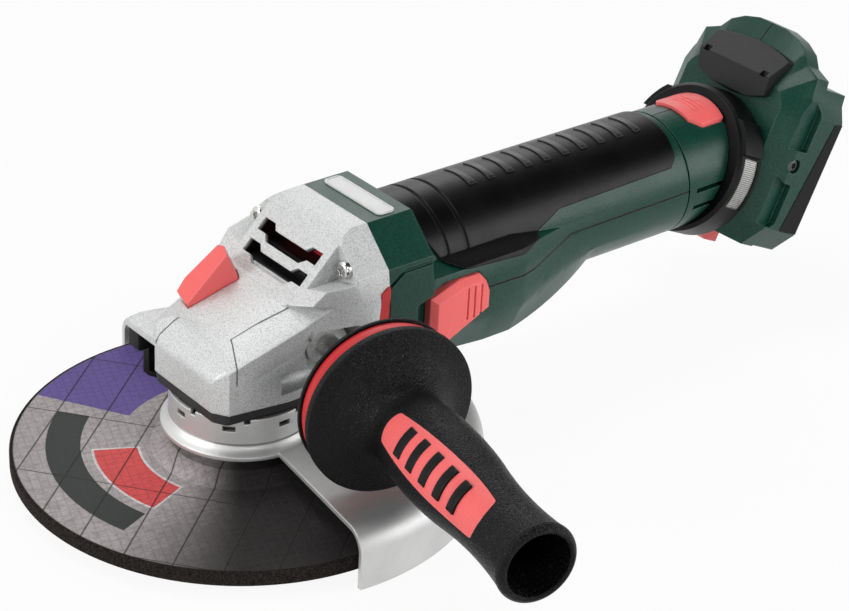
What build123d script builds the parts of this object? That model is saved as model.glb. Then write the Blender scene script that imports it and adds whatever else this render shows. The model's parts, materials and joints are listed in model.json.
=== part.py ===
from build123d import *
from math import atan2, cos, degrees, pi, radians, sin, sqrt, tan
import os

# Cordless angle grinder, millimetres.
# The origin is on the spindle axis in the wheel's lower face.
# +X runs to the rear of the tool, -Y to the side handle, +Z up.

# Driving sizes of the wheel
WHEEL_DIA = 180.0
WHEEL_THICK = 6.0
WHEEL_BORE = 22.23
HUB_RISE = 4.6
HUB_DIA = 60.0
HUB_SLOPE = 7.0

# Driving sizes of the head
HEAD_BOTTOM = 38.0
HEAD_TOP = 98.5
NOSE_FRONT = -27.5
HEAD_REAR = 43.0
HEAD_HALF = 36.5
AXIS_Z = 66.2
VENT_SLOPE = 45.0

# Driving sizes of the motor housing and the rear
COLLAR_REAR = 66.0
BARREL_R = 26.8
BARREL_REAR = 211.2
WALL = 2.3
GRIP_THICK = 1.1
FOOT_TILT = 25.0
FOOT_WIDTH = 79.0
FOOT_TOP = 67.0
FOOT_BOTTOM = -25.0
FOOT_FACE = 46.0
RING_R = 32.7
RING_X = 231.65
RING_Z = 68.9

# Driving sizes of the side handle
HANDLE_LEAN = 11.0
HANDLE_FLANGE_R = 33.6
HANDLE_GRIP_R = 16.9
HANDLE_LENGTH = 107.6
HANDLE_AT = (10.0, -80.0, 56.0)

# Driving sizes of the gears
CROWN_TEETH = 33
PINION_TEETH = 15
CROWN_RADIUS = 16.8
FACE_WIDTH = 5.2
TOOTH_SHARE = 0.38

# Fits and clearances
RUN_GAP = 0.03
FREE_GAP = 0.35
SEAT_GAP = 0.05

# Travels
SWITCH_TRAVEL = 7.0
LOCK_TRAVEL = 2.2

# Sizes worked out from the driving ones
HUB_TOP = HUB_RISE + WHEEL_THICK
INNER_FLANGE_TOP = HUB_TOP + 5.8
GUARD_SHEET = 2.0
GUARD_TOP = INNER_FLANGE_TOP + GUARD_SHEET
GUARD_R = WHEEL_DIA / 2 + 5.5
GUARD_DROP = -5.0
NECK_R = 26.3
BAND_IN = NECK_R + FREE_GAP
BAND_OUT = BAND_IN + 1.7
PLATE_BOTTOM = HEAD_BOTTOM - 4.6
BORE_R = BARREL_R - WALL
FROM_BASE = (Align.CENTER, Align.CENTER, Align.MIN)
MOTOR_AXIS = Axis((0, 0, AXIS_Z), (1, 0, 0))


def across_motor(x):
    """A plane across the motor axis, centred on it."""
    return Plane(origin=(x, 0, AXIS_Z), x_dir=(0, 1, 0), z_dir=(1, 0, 0))


def both_sides(half):
    """Close a half outline of (across, along) points by its mirror image."""
    return half + [(-across, along) for across, along in reversed(half)]


def plan_outline(half):
    """Close a half plan of (x, y) points by its mirror image in y."""
    return half + [(x, -y) for x, y in reversed(half)]


def about_motor(count):
    """Places evenly round the motor axis."""
    centre = Location((0, 0, AXIS_Z))
    back = Location((0, 0, -AXIS_Z))
    return [centre * Location((0, 0, 0), (360 * step / count, 0, 0)) * back for step in range(count)]


def ball_bearing(plane, inner, outer, width):
    """A shielded ball bearing that starts on a plane and runs along its normal."""
    shield_in = inner + 0.3 * (outer - inner)
    shield_out = inner + 0.7 * (outer - inner)
    with BuildPart() as bearing:
        with BuildSketch(plane):
            Circle(outer)
            Circle(inner, mode=Mode.SUBTRACT)
        extrude(amount=width)
        for depth in (0, width):
            with BuildSketch(plane.offset(depth)):
                Circle(shield_out)
                Circle(shield_in, mode=Mode.SUBTRACT)
            extrude(amount=0.6 if depth == 0 else -0.6, mode=Mode.SUBTRACT)
    return bearing


# Grinding wheel with depressed centre
wheel_r = WHEEL_DIA / 2
hub_r = HUB_DIA / 2
with BuildPart() as wheel:
    with BuildSketch(Plane.XZ):
        Polygon(
            (WHEEL_BORE / 2, HUB_RISE),
            (hub_r + 1.5, HUB_RISE),
            (hub_r + 1.5 + HUB_SLOPE, 0),
            (wheel_r, 0),
            (wheel_r, WHEEL_THICK),
            (hub_r - 1.5 + HUB_SLOPE, WHEEL_THICK),
            (hub_r - 1.5, HUB_TOP),
            (WHEEL_BORE / 2, HUB_TOP),
            align=None,
        )
    revolve(axis=Axis.Z)
    chamfer(wheel.edges().filter_by(GeomType.CIRCLE).group_by(SortBy.RADIUS)[-1], length=0.6)

# Output spindle
SPINDLE_THREAD_R = 7.0
SPINDLE_SHOULDER_R = 10.5
SPINDLE_BEARING_R = 7.5
SPINDLE_GEAR_R = 6.5
SPINDLE_TOP_R = 4.0
BEARING_LOW = 25.0
BEARING_WIDE = 11.0
GEAR_LOW = 47.0
GEAR_HUB_TOP = 58.3
SPINDLE_TOP = 65.6
with BuildPart() as spindle:
    with BuildSketch(Plane.XZ):
        Polygon(
            (0, 1.6),
            (SPINDLE_THREAD_R - 1, 1.6),
            (SPINDLE_THREAD_R, 2.6),
            (SPINDLE_THREAD_R, INNER_FLANGE_TOP),
            (SPINDLE_SHOULDER_R, INNER_FLANGE_TOP),
            (SPINDLE_SHOULDER_R, BEARING_LOW - 0.6),
            (SPINDLE_BEARING_R, BEARING_LOW - 0.6),
            (SPINDLE_BEARING_R, GEAR_LOW - 9),
            (SPINDLE_GEAR_R + 2.4, GEAR_LOW - 9),
            (SPINDLE_GEAR_R + 2.4, GEAR_LOW),
            (SPINDLE_GEAR_R, GEAR_LOW),
            (SPINDLE_GEAR_R, GEAR_HUB_TOP),
            (SPINDLE_TOP_R, GEAR_HUB_TOP),
            (SPINDLE_TOP_R, SPINDLE_TOP - 0.6),
            (SPINDLE_TOP_R - 0.6, SPINDLE_TOP),
            (0, SPINDLE_TOP),
            align=None,
        )
    revolve(axis=Axis.Z)

# Support flange over the wheel and clamp nut under it
PILOT_R = WHEEL_BORE / 2 - SEAT_GAP
NUT_LOW = 1.0
with BuildPart() as inner_flange:
    with BuildSketch(Plane.XZ):
        Polygon(
            (SPINDLE_THREAD_R, HUB_TOP - 2.4),
            (PILOT_R, HUB_TOP - 2.4),
            (PILOT_R, HUB_TOP),
            (21, HUB_TOP),
            (21, HUB_TOP + 2.6),
            (15, INNER_FLANGE_TOP),
            (SPINDLE_THREAD_R, INNER_FLANGE_TOP),
            align=None,
        )
    revolve(axis=Axis.Z)

with BuildPart() as clamp_nut:
    with BuildSketch(Plane.XZ):
        Polygon(
            (SPINDLE_THREAD_R, NUT_LOW),
            (18, NUT_LOW),
            (19.5, NUT_LOW + 1.2),
            (19.5, HUB_RISE),
            (PILOT_R, HUB_RISE),
            (PILOT_R, HUB_RISE + 3),
            (SPINDLE_THREAD_R, HUB_RISE + 3),
            align=None,
        )
    revolve(axis=Axis.Z)
    with BuildSketch(Plane.XY.offset(NUT_LOW)):
        with PolarLocations(15, 4):
            Circle(2.5)
    extrude(amount=2.4, mode=Mode.SUBTRACT)

# Straight bevel gears on a common cone apex where spindle and motor axes cross
PINION_RADIUS = CROWN_RADIUS * PINION_TEETH / CROWN_TEETH
MODULE = 2 * CROWN_RADIUS / CROWN_TEETH
ADDENDUM = 0.75 * MODULE
DEDENDUM = 1.05 * MODULE
CONE_LENGTH = sqrt(CROWN_RADIUS**2 + PINION_RADIUS**2)
INNER_SCALE = 1 - FACE_WIDTH / CONE_LENGTH
CONE_COS = CROWN_RADIUS / CONE_LENGTH
CONE_SIN = PINION_RADIUS / CONE_LENGTH
GAP_HALF = (1 - TOOTH_SHARE) * pi * MODULE / 2
PRESSURE = tan(radians(20))


def tooth_gap(upward):
    """The space between two teeth: a trapezoid drawn towards the cone apex."""
    outline = [
        (-GAP_HALF - 2 * ADDENDUM * PRESSURE, 2 * ADDENDUM),
        (-GAP_HALF + DEDENDUM * PRESSURE, -DEDENDUM),
        (GAP_HALF - DEDENDUM * PRESSURE, -DEDENDUM),
        (GAP_HALF + 2 * ADDENDUM * PRESSURE, 2 * ADDENDUM),
    ]
    with BuildPart() as gap:
        for scale in (1.15, INNER_SCALE - 0.12):
            origin = (CROWN_RADIUS * scale, 0, AXIS_Z + upward * PINION_RADIUS * scale)
            along = (CONE_COS, 0, upward * CONE_SIN)
            with BuildSketch(Plane(origin=origin, x_dir=(0, 1, 0), z_dir=along)):
                Polygon(*[(across * scale, height * scale) for across, height in outline], align=None)
        loft()
    return gap


def cone_point(height, scale, upward):
    """A point of a gear's side profile, height above the pitch line at the heel, as (x, z)."""
    x = CROWN_RADIUS - upward * height * CONE_SIN
    z = upward * PINION_RADIUS + height * CONE_COS
    return (x * scale, AXIS_Z + z * scale)


crown_gap = tooth_gap(-1)
with BuildPart() as crown_gear:
    with BuildSketch(Plane.XZ):
        Polygon(
            (SPINDLE_GEAR_R, GEAR_LOW),
            (12.5, GEAR_LOW),
            (14.5, 54.5),
            cone_point(-2 * ADDENDUM, 1, -1),
            cone_point(ADDENDUM, 1, -1),
            cone_point(ADDENDUM, INNER_SCALE, -1),
            (11.2, GEAR_HUB_TOP),
            (SPINDLE_GEAR_R, GEAR_HUB_TOP),
            align=None,
        )
    revolve(axis=Axis.Z)
    with PolarLocations(0, CROWN_TEETH):
        add(crown_gap.part, mode=Mode.SUBTRACT)

PINION_BORE = 3.0
PINION_REAR = 20.0
pinion_gap = tooth_gap(1)
with BuildPart() as pinion:
    with BuildSketch(Plane.XZ):
        Polygon(
            (CROWN_RADIUS * INNER_SCALE + 1.2, AXIS_Z + PINION_BORE),
            cone_point(ADDENDUM, INNER_SCALE, 1),
            cone_point(ADDENDUM, 1, 1),
            cone_point(-2 * ADDENDUM, 1, 1),
            (PINION_REAR, AXIS_Z + 6),
            (PINION_REAR, AXIS_Z + PINION_BORE),
            align=None,
        )
    revolve(axis=MOTOR_AXIS)
    with Locations(*about_motor(PINION_TEETH)):
        add(pinion_gap.part, mode=Mode.SUBTRACT)

# Spindle bearings
BEARING_OUT = 17.5
BUSH_OUT = 6.0
BUSH_LOW = 59.6
BUSH_TOP = 66.2
spindle_bearing = ball_bearing(
    Plane.XY.offset(BEARING_LOW), SPINDLE_BEARING_R + RUN_GAP, BEARING_OUT, BEARING_WIDE
)
with BuildPart() as spindle_bush:
    with BuildSketch(Plane.XY.offset(BUSH_LOW)):
        Circle(BUSH_OUT)
        Circle(SPINDLE_TOP_R + RUN_GAP, mode=Mode.SUBTRACT)
    extrude(amount=BUSH_TOP - BUSH_LOW)

# Gear housing outline: a side profile, a plan and a cross section that meet in one casting
NOSE_EDGE = 52.0
NOSE_TOP_X = -20.5
NOSE_TOP_Z = 61.5
HUMP_X = 8.6
HUMP_Z = 75.2
CREST_Z = 97.0
CREST_X = HUMP_X + (CREST_Z - HUMP_Z) / tan(radians(VENT_SLOPE))
NOSE_ANGLE = degrees(atan2(HUMP_Z - NOSE_TOP_Z, HUMP_X - NOSE_TOP_X))
NOSE_HALF = 25.0
NOSE_ROUND = 8.0
SHOULDER_END = 28.0
HUMP_ROUND = 3.0
BOSS_FRONT = 10.5
BOSS_FACE = 27.0
head_side = [
    (NOSE_FRONT, HEAD_BOTTOM),
    (NOSE_FRONT, NOSE_EDGE),
    (NOSE_TOP_X, NOSE_TOP_Z),
    (HUMP_X, HUMP_Z),
    (CREST_X, CREST_Z),
    (HEAD_REAR - 8, HEAD_TOP),
    (HEAD_REAR, HEAD_TOP),
    (HEAD_REAR, HEAD_BOTTOM),
]
head_plan = [
    (NOSE_FRONT, NOSE_HALF - 6),
    (NOSE_FRONT + 4, NOSE_HALF),
    (BOSS_FRONT, NOSE_HALF + 5.5),
    (HEAD_REAR - 10, HEAD_HALF),
    (HEAD_REAR, HEAD_HALF),
]
head_section = [
    (20, HEAD_TOP),
    (34.5, 84.5),
    (HEAD_HALF, 71),
    (HEAD_HALF, 52),
    (29, HEAD_BOTTOM),
]
HOLLOW_HALF = 20.0
HOLLOW_REAR = HEAD_REAR - 9
HUMP_HOLLOW = [(14.2, 77.3), (30.9, 94), (HOLLOW_REAR, 95), (HOLLOW_REAR, 81), (24, 81), (22, 77.3)]
VENT_CLIMBS = (7.6, 17.4)
VENT_DEEP = 2.7
vent_half = [(12, 4), (18.5, 4), (18.5, -1.5), (13.5, -1.5), (10.5, -4.2)]
UPPER_SCREW = (27.5, 86.5)
LOWER_SCREW = (26.5, 45.5)
SCREW_PLACES = [(side * across, height) for across, height in (UPPER_SCREW, LOWER_SCREW) for side in (1, -1)]
SCREW_SEAT = 28.0
POCKET_WALL = 2.3
POCKET_DEEP = 30.0
SCREW_HEAD_R = 3.6
SCREW_R = 2.0
SCREW_END = 57.0
FRONT_BEARING_X = 24.0
FRONT_BEARING_R = 13.0
FRONT_BEARING_WIDE = 8.0
CROWN_ROOM = 20.5
PINION_ROOM = 9.0
FAN_ROOM = 26.5
BAFFLE_X = FRONT_BEARING_X + FRONT_BEARING_WIDE + 0.6
TAB_LOW = 60.0
TAB_HIGH = 78.0
TAB_X = 37.2
tab_side = [
    (HEAD_REAR, TAB_LOW),
    (TAB_X, TAB_LOW),
    (TAB_X + 1.6, TAB_HIGH - 2),
    (HEAD_REAR - 1, TAB_HIGH),
    (HEAD_REAR, TAB_HIGH),
]
nose_plane = Plane(
    origin=(NOSE_TOP_X, 0, NOSE_TOP_Z),
    x_dir=(0, 1, 0),
    z_dir=(cos(radians(NOSE_ANGLE)), 0, sin(radians(NOSE_ANGLE))),
)
vent_plane = Plane(
    origin=(HUMP_X, 0, HUMP_Z),
    x_dir=(0, -1, 0),
    z_dir=(-sin(radians(VENT_SLOPE)), 0, cos(radians(VENT_SLOPE))),
)
handle_out = (-sin(radians(HANDLE_LEAN)), -cos(radians(HANDLE_LEAN)), 0)
boss_x = HANDLE_AT[0] + (-BOSS_FACE - HANDLE_AT[1]) * tan(radians(HANDLE_LEAN))
handle_boss = Plane(origin=(boss_x, -BOSS_FACE, HANDLE_AT[2]), x_dir=(0, 0, 1), z_dir=handle_out)
free_boss = Plane(
    origin=(boss_x, BOSS_FACE, HANDLE_AT[2]), x_dir=(0, 0, 1), z_dir=(handle_out[0], -handle_out[1], 0)
)
HANDLE_THREAD_R = 4.0
HANDLE_HOLE_R = HANDLE_THREAD_R + SEAT_GAP
HANDLE_HOLE_DEEP = 11.0
LOCK_PLAN = [(6, 14.5), (27.5, 9), (30, 14), (27.5, 25), (8.5, 25)]
LOCK_SUNK = 1.1
LOCK_PIN_R = 1.3
LOCK_PIN_AT = (18, 19)
LOCK_PIN_END = -9.5
lock_plane = Plane(
    origin=nose_plane.origin, x_dir=nose_plane.z_dir, z_dir=nose_plane.y_dir
)
FLANGE_SCREWS = [(-19.5, 19.5), (-19.5, -19.5), (27, 21), (27, -21)]
FLANGE_SCREW_R = 1.9
FLANGE_SCREW_LONG = 15.0
WING_TOP = 52.0
WING_LOW = 49.0
WING_PLAN = [(NOSE_FRONT, 18), (NOSE_FRONT, 39), (-20, 40), (-8, 37), (-5, 24)]

with BuildPart() as lock_room:
    with BuildSketch(lock_plane.offset(-LOCK_SUNK - LOCK_TRAVEL - 0.3)):
        Polygon(*LOCK_PLAN, align=None)
        offset(amount=FREE_GAP, kind=Kind.INTERSECTION)
    extrude(amount=30)
    with BuildSketch(lock_plane.offset(LOCK_PIN_END - LOCK_TRAVEL - 1)):
        with Locations(LOCK_PIN_AT):
            Circle(LOCK_PIN_R + FREE_GAP)
    extrude(amount=10)

with BuildPart() as gear_housing:
    with BuildSketch(Plane.XZ) as side_view:
        Polygon(*head_side, align=None)
        for corner in ((NOSE_FRONT, NOSE_EDGE), (NOSE_TOP_X, NOSE_TOP_Z)):
            fillet(side_view.vertices().sort_by_distance(corner)[:1], radius=NOSE_ROUND)
        fillet(side_view.vertices().sort_by_distance((HUMP_X, HUMP_Z))[:1], radius=HUMP_ROUND)
    extrude(amount=HEAD_HALF, both=True)
    with BuildSketch(Plane.XY.offset(HEAD_BOTTOM)):
        Polygon(*plan_outline(head_plan), align=None)
    extrude(amount=HEAD_TOP - HEAD_BOTTOM, mode=Mode.INTERSECT)
    with BuildSketch(Plane.YZ.offset(NOSE_FRONT)):
        Polygon(*both_sides(head_section), align=None)
    extrude(amount=HEAD_REAR - NOSE_FRONT, mode=Mode.INTERSECT)
    # Sloped shoulders along the nose
    for side in (-1, 1):
        shoulder = [(side * 17, 0), (side * 32, -6.5), (side * 40, -6.5), (side * 40, 12)]
        run_out = [(side * 33, -5), (side * 34, -5.4), (side * 40, -5.4), (side * 40, -2)]
        with BuildSketch(nose_plane.offset(-30)):
            Polygon(*shoulder, align=None)
        extrude(amount=30 + SHOULDER_END, mode=Mode.SUBTRACT)
        with BuildSketch(nose_plane.offset(SHOULDER_END)):
            Polygon(*shoulder, align=None)
        with BuildSketch(nose_plane.offset(SHOULDER_END + 14)):
            Polygon(*run_out, align=None)
        loft(ruled=True, mode=Mode.SUBTRACT)
    fillet(gear_housing.edges().filter_by(Axis.Z).group_by(Axis.X)[0], radius=3)
    # Undercut flanks of the nose
    for side in (-1, 1):
        with BuildSketch(Plane.YZ.offset(BOSS_FRONT)):
            Polygon((side * 31, 68), (side * 26, 55.5), (side * 31, 41), align=None)
        with BuildSketch(Plane.YZ.offset(-18)):
            Polygon((side * 27, 51.5), (side * 26.2, 50), (side * 27, 48.5), align=None)
        loft(mode=Mode.SUBTRACT)
    # Recesses with the two bosses for the side handle
    for side in (-1, 1):
        with BuildSketch(Plane.XZ.offset(-side * (BOSS_FACE - 4))):
            with Locations((BOSS_FRONT + 10.5, 55)):
                RectangleRounded(21, 21, 4)
        extrude(amount=-side * 30, mode=Mode.SUBTRACT)
    for boss in (handle_boss, free_boss):
        with BuildSketch(boss):
            Circle(8.6)
        extrude(amount=-7)
        with BuildSketch(boss):
            Circle(HANDLE_HOLE_R)
        extrude(amount=-HANDLE_HOLE_DEEP, mode=Mode.SUBTRACT)
    # Wing over the guard lever
    with BuildSketch(Plane.XY.offset(WING_LOW)):
        Polygon(*WING_PLAN, align=None)
    extrude(amount=WING_TOP - WING_LOW)
    # Stepped vent slots through the hump
    for climb in VENT_CLIMBS:
        with BuildSketch(vent_plane):
            with Locations((0, climb)):
                Polygon(*both_sides(vent_half), (-9.5, 1.5), (9.5, 1.5), align=None)
        extrude(amount=-VENT_DEEP, mode=Mode.SUBTRACT)
    # Hollow hump
    with BuildSketch(Plane.XZ):
        Polygon(*HUMP_HOLLOW, align=None)
    extrude(amount=HOLLOW_HALF, both=True, mode=Mode.SUBTRACT)
    # Gear room, bush seat, pinion room, bearing seat and fan room
    with BuildSketch(Plane.XZ):
        Polygon(
            (0, HEAD_BOTTOM),
            (CROWN_ROOM, HEAD_BOTTOM),
            (CROWN_ROOM, 55.5),
            (18, 60),
            (9, 64.2),
            (8.6, 64.2),
            (8.6, BUSH_LOW),
            (BUSH_OUT, BUSH_LOW),
            (BUSH_OUT, BUSH_TOP),
            (0, BUSH_TOP),
            align=None,
        )
    revolve(axis=Axis.Z, mode=Mode.SUBTRACT)
    for start, end, radius in (
        (PINION_ROOM, FRONT_BEARING_X, PINION_ROOM),
        (FRONT_BEARING_X, BAFFLE_X, FRONT_BEARING_R),
        (BAFFLE_X, HEAD_REAR, FAN_ROOM),
    ):
        with BuildSketch(Plane.YZ.offset(start)):
            with Locations((0, AXIS_Z)):
                Circle(radius)
        extrude(amount=end - start, mode=Mode.SUBTRACT)
    # Notches for the red side tabs
    with BuildSketch(Plane.XZ):
        Polygon(*tab_side, align=None)
    extrude(amount=HEAD_HALF + 1, both=True, mode=Mode.SUBTRACT)
    # Open pockets of the upper screws, round ones of the lower screws, and the holes
    for side in (-1, 1):
        inner = side * (HOLLOW_HALF + POCKET_WALL)
        outer = side * (HEAD_HALF + 4)
        with BuildSketch(Plane.YZ.offset(SCREW_SEAT)):
            Polygon(
                (inner, UPPER_SCREW[1] - 6.5),
                (inner, HEAD_TOP + 1),
                (outer, HEAD_TOP + 1),
                (outer, UPPER_SCREW[1] - 2.5),
                align=None,
            )
            with Locations((side * LOWER_SCREW[0], LOWER_SCREW[1])):
                Circle(SCREW_HEAD_R + 0.6)
        extrude(amount=-POCKET_DEEP, mode=Mode.SUBTRACT)
    with BuildSketch(Plane.YZ.offset(SCREW_SEAT)):
        with Locations(*SCREW_PLACES):
            Circle(SCREW_R)
    extrude(amount=HEAD_REAR - SCREW_SEAT, mode=Mode.SUBTRACT)
    with Locations(*[(x, y, PLATE_BOTTOM) for x, y in FLANGE_SCREWS]):
        Cylinder(FLANGE_SCREW_R, FLANGE_SCREW_LONG, align=FROM_BASE, mode=Mode.SUBTRACT)
    add(lock_room.part, mode=Mode.SUBTRACT)

# Bearing flange under the housing, with the neck that carries the guard
NECK_LOW = 20.0
FLANGE_HALF = [(NOSE_FRONT + 0.8, 18.5), (NOSE_FRONT + 4, 24), (BOSS_FRONT, 28), (31, 28), (36, 22)]
with BuildPart() as bearing_flange:
    with BuildSketch(Plane.XY.offset(PLATE_BOTTOM)) as flange_plan:
        Polygon(*plan_outline(FLANGE_HALF), align=None)
        fillet(flange_plan.vertices(), radius=3)
    extrude(amount=HEAD_BOTTOM - PLATE_BOTTOM)
    with BuildSketch(Plane.XY.offset(NECK_LOW)):
        Circle(NECK_R)
    extrude(amount=PLATE_BOTTOM - NECK_LOW)
    with BuildSketch(Plane.XY.offset(BEARING_LOW)):
        Circle(BEARING_OUT)
    extrude(amount=HEAD_BOTTOM - BEARING_LOW, mode=Mode.SUBTRACT)
    with BuildSketch(Plane.XY.offset(NECK_LOW)):
        Circle(SPINDLE_SHOULDER_R + 0.7)
    extrude(amount=BEARING_LOW - NECK_LOW, mode=Mode.SUBTRACT)
    with Locations(*[(x, y, PLATE_BOTTOM) for x, y in FLANGE_SCREWS]):
        Cylinder(3, 2.4, align=FROM_BASE, mode=Mode.SUBTRACT)
        Cylinder(FLANGE_SCREW_R, FLANGE_SCREW_LONG, align=FROM_BASE, mode=Mode.SUBTRACT)

with BuildPart() as flange_screws:
    with Locations(*[(x, y, PLATE_BOTTOM) for x, y in FLANGE_SCREWS]):
        Cylinder(3, 2.4, align=FROM_BASE)
        Cylinder(FLANGE_SCREW_R, FLANGE_SCREW_LONG, align=FROM_BASE)

with BuildPart() as housing_screws:
    with BuildSketch(Plane.YZ.offset(SCREW_SEAT)):
        with Locations(*SCREW_PLACES):
            Circle(SCREW_HEAD_R)
    extrude(amount=-2.6)
    with BuildSketch(Plane.YZ.offset(SCREW_SEAT)):
        with Locations(*SCREW_PLACES):
            Circle(SCREW_R)
    extrude(amount=SCREW_END - SCREW_SEAT)

# Wheel guard: a slotted band round the neck, welded into a pressed half shell
BAND_TOP = PLATE_BOTTOM - 0.5
LIP_R = BAND_OUT + 3.2
GUARD_START = -98.0
GUARD_SWEEP = 184.0
GUARD_EDGE = 9.0
with BuildPart() as guard_band:
    with BuildSketch(Plane.XY.offset(GUARD_TOP - GUARD_SHEET)):
        Circle(BAND_OUT)
        Circle(BAND_IN, mode=Mode.SUBTRACT)
    extrude(amount=BAND_TOP - GUARD_TOP + GUARD_SHEET)
    for turn in range(0, 360, 45):
        slot = Plane.XY.offset(BAND_TOP - 5.2).rotated((0, 0, turn))
        with BuildSketch(slot):
            with Locations((BAND_OUT, 0)):
                Rectangle(6, 5)
        extrude(amount=2.2, mode=Mode.SUBTRACT)
        with BuildSketch(slot.offset(3.4)):
            with Locations((BAND_OUT * cos(radians(14)), BAND_OUT * sin(radians(14)))):
                Rectangle(7, 2.4, rotation=14)
        extrude(amount=3, mode=Mode.SUBTRACT)

with BuildPart() as guard_shell:
    with BuildSketch(Plane.XZ) as lip_profile:
        with BuildLine():
            lip_low = GUARD_TOP - GUARD_SHEET
            Polyline(
                (BAND_OUT, GUARD_TOP + 5),
                (BAND_OUT, lip_low),
                (LIP_R, lip_low),
                (LIP_R, GUARD_TOP - 0.4),
            )
            Line((LIP_R, GUARD_TOP - 0.4), (LIP_R - 0.5, GUARD_TOP))
            RadiusArc((LIP_R - 0.5, GUARD_TOP), (BAND_OUT, GUARD_TOP + 5), 5)
        make_face()
    revolve(axis=Axis.Z)
    with BuildSketch(Plane.XZ.rotated((0, 0, GUARD_START))):
        with BuildLine():
            inner_r = GUARD_R - GUARD_SHEET
            Polyline(
                (GUARD_R, GUARD_DROP),
                (inner_r, GUARD_DROP),
                (inner_r, GUARD_TOP - GUARD_EDGE),
            )
            RadiusArc(
                (inner_r, GUARD_TOP - GUARD_EDGE),
                (inner_r - GUARD_EDGE + GUARD_SHEET, GUARD_TOP - GUARD_SHEET),
                -(GUARD_EDGE - GUARD_SHEET),
            )
            Polyline(
                (inner_r - GUARD_EDGE + GUARD_SHEET, GUARD_TOP - GUARD_SHEET),
                (LIP_R - 1, GUARD_TOP - GUARD_SHEET),
                (LIP_R - 1, GUARD_TOP),
                (GUARD_R - GUARD_EDGE, GUARD_TOP),
            )
            RadiusArc((GUARD_R - GUARD_EDGE, GUARD_TOP), (GUARD_R, GUARD_TOP - GUARD_EDGE), GUARD_EDGE)
            Line((GUARD_R, GUARD_TOP - GUARD_EDGE), (GUARD_R, GUARD_DROP))
        make_face()
    revolve(axis=Axis.Z, revolution_arc=GUARD_SWEEP)

# Guard release lever on its pin under the wing
LEVER_PIN_AT = (-11.5, 33.0)
LEVER_PIN_R = 1.5
LEVER_LOW = 41.0
LEVER_TOP = WING_LOW - FREE_GAP
LEVER_PAWL = [(-22, 35.5), (-15, 35.5), (-15, 31.5), (-17, 31.5), (-16.2, 24.6), (-18.3, 23.9), (-22, 31.5)]
with BuildPart() as lever_pin:
    with Locations((*LEVER_PIN_AT, LEVER_LOW)):
        Cylinder(LEVER_PIN_R, WING_LOW - LEVER_LOW, align=FROM_BASE)

with BuildPart() as guard_lever:
    with BuildSketch(Plane.XY.offset(LEVER_LOW)):
        Polygon((-27, 30.5), (-27, 38.5), (-20, 39.5), (-8, 36.5), (-8, 30.5), align=None)
        fillet(vertices(), radius=1)
    extrude(amount=LEVER_TOP - LEVER_LOW)
    with BuildSketch(Plane.XY.offset(BAND_TOP - 5)):
        Polygon(*LEVER_PAWL, align=None)
    extrude(amount=2)
    with BuildSketch(Plane.XY.offset(BAND_TOP - 5)):
        with Locations((-18.5, 33.5)):
            Rectangle(7, 4)
    extrude(amount=LEVER_LOW - BAND_TOP + 5)
    with Locations((*LEVER_PIN_AT, LEVER_LOW)):
        Cylinder(LEVER_PIN_R + RUN_GAP, 30, mode=Mode.SUBTRACT)

# Spindle lock button: a ramp on the nose with its pin beside the gear rim
with BuildPart() as lock_button:
    with BuildSketch(lock_plane.offset(-LOCK_SUNK)):
        Polygon(*LOCK_PLAN, align=None)
    extrude(amount=14)
    ramp_foot = lock_plane.from_local_coords((6, 14.5, 1.4))
    split(bisect_by=Plane(origin=ramp_foot, x_dir=(0, 1, 0), z_dir=(-0.78, 0.14, 0.62)), keep=Keep.BOTTOM)
    flank_foot = lock_plane.from_local_coords((18, 26.5, 0))
    split(bisect_by=Plane(origin=flank_foot, x_dir=(1, 0, 0), z_dir=(-0.1, 0.86, 0.5)), keep=Keep.BOTTOM)
    with BuildSketch(lock_plane.offset(LOCK_PIN_END)):
        with Locations(LOCK_PIN_AT):
            Circle(LOCK_PIN_R)
    extrude(amount=-LOCK_PIN_END - LOCK_SUNK)

# Red air baffle behind the front bearing, with the two side tabs that show
BAFFLE_THICK = 2.4
with BuildPart() as baffle:
    with BuildSketch(Plane.YZ.offset(BAFFLE_X)):
        with Locations((0, AXIS_Z)):
            Circle(FAN_ROOM)
            Circle(8, mode=Mode.SUBTRACT)
    extrude(amount=BAFFLE_THICK)
    with BuildSketch(Plane.YZ.offset(BAFFLE_X + BAFFLE_THICK)):
        with Locations((0, AXIS_Z)):
            Circle(FAN_ROOM)
            Circle(FAN_ROOM - 2, mode=Mode.SUBTRACT)
        with Locations((0, (TAB_LOW + TAB_HIGH) / 2)):
            Rectangle(2 * FAN_ROOM + 2, TAB_HIGH - TAB_LOW - 1, mode=Mode.INTERSECT)
    extrude(amount=HEAD_REAR - BAFFLE_X - BAFFLE_THICK)
    for side in (-1, 1):
        with BuildSketch(Plane.XZ.offset(side * (FAN_ROOM - 2.3))):
            Polygon(*tab_side, align=None)
        extrude(amount=side * (HEAD_HALF - FAN_ROOM + 2), mode=Mode.ADD)

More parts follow.
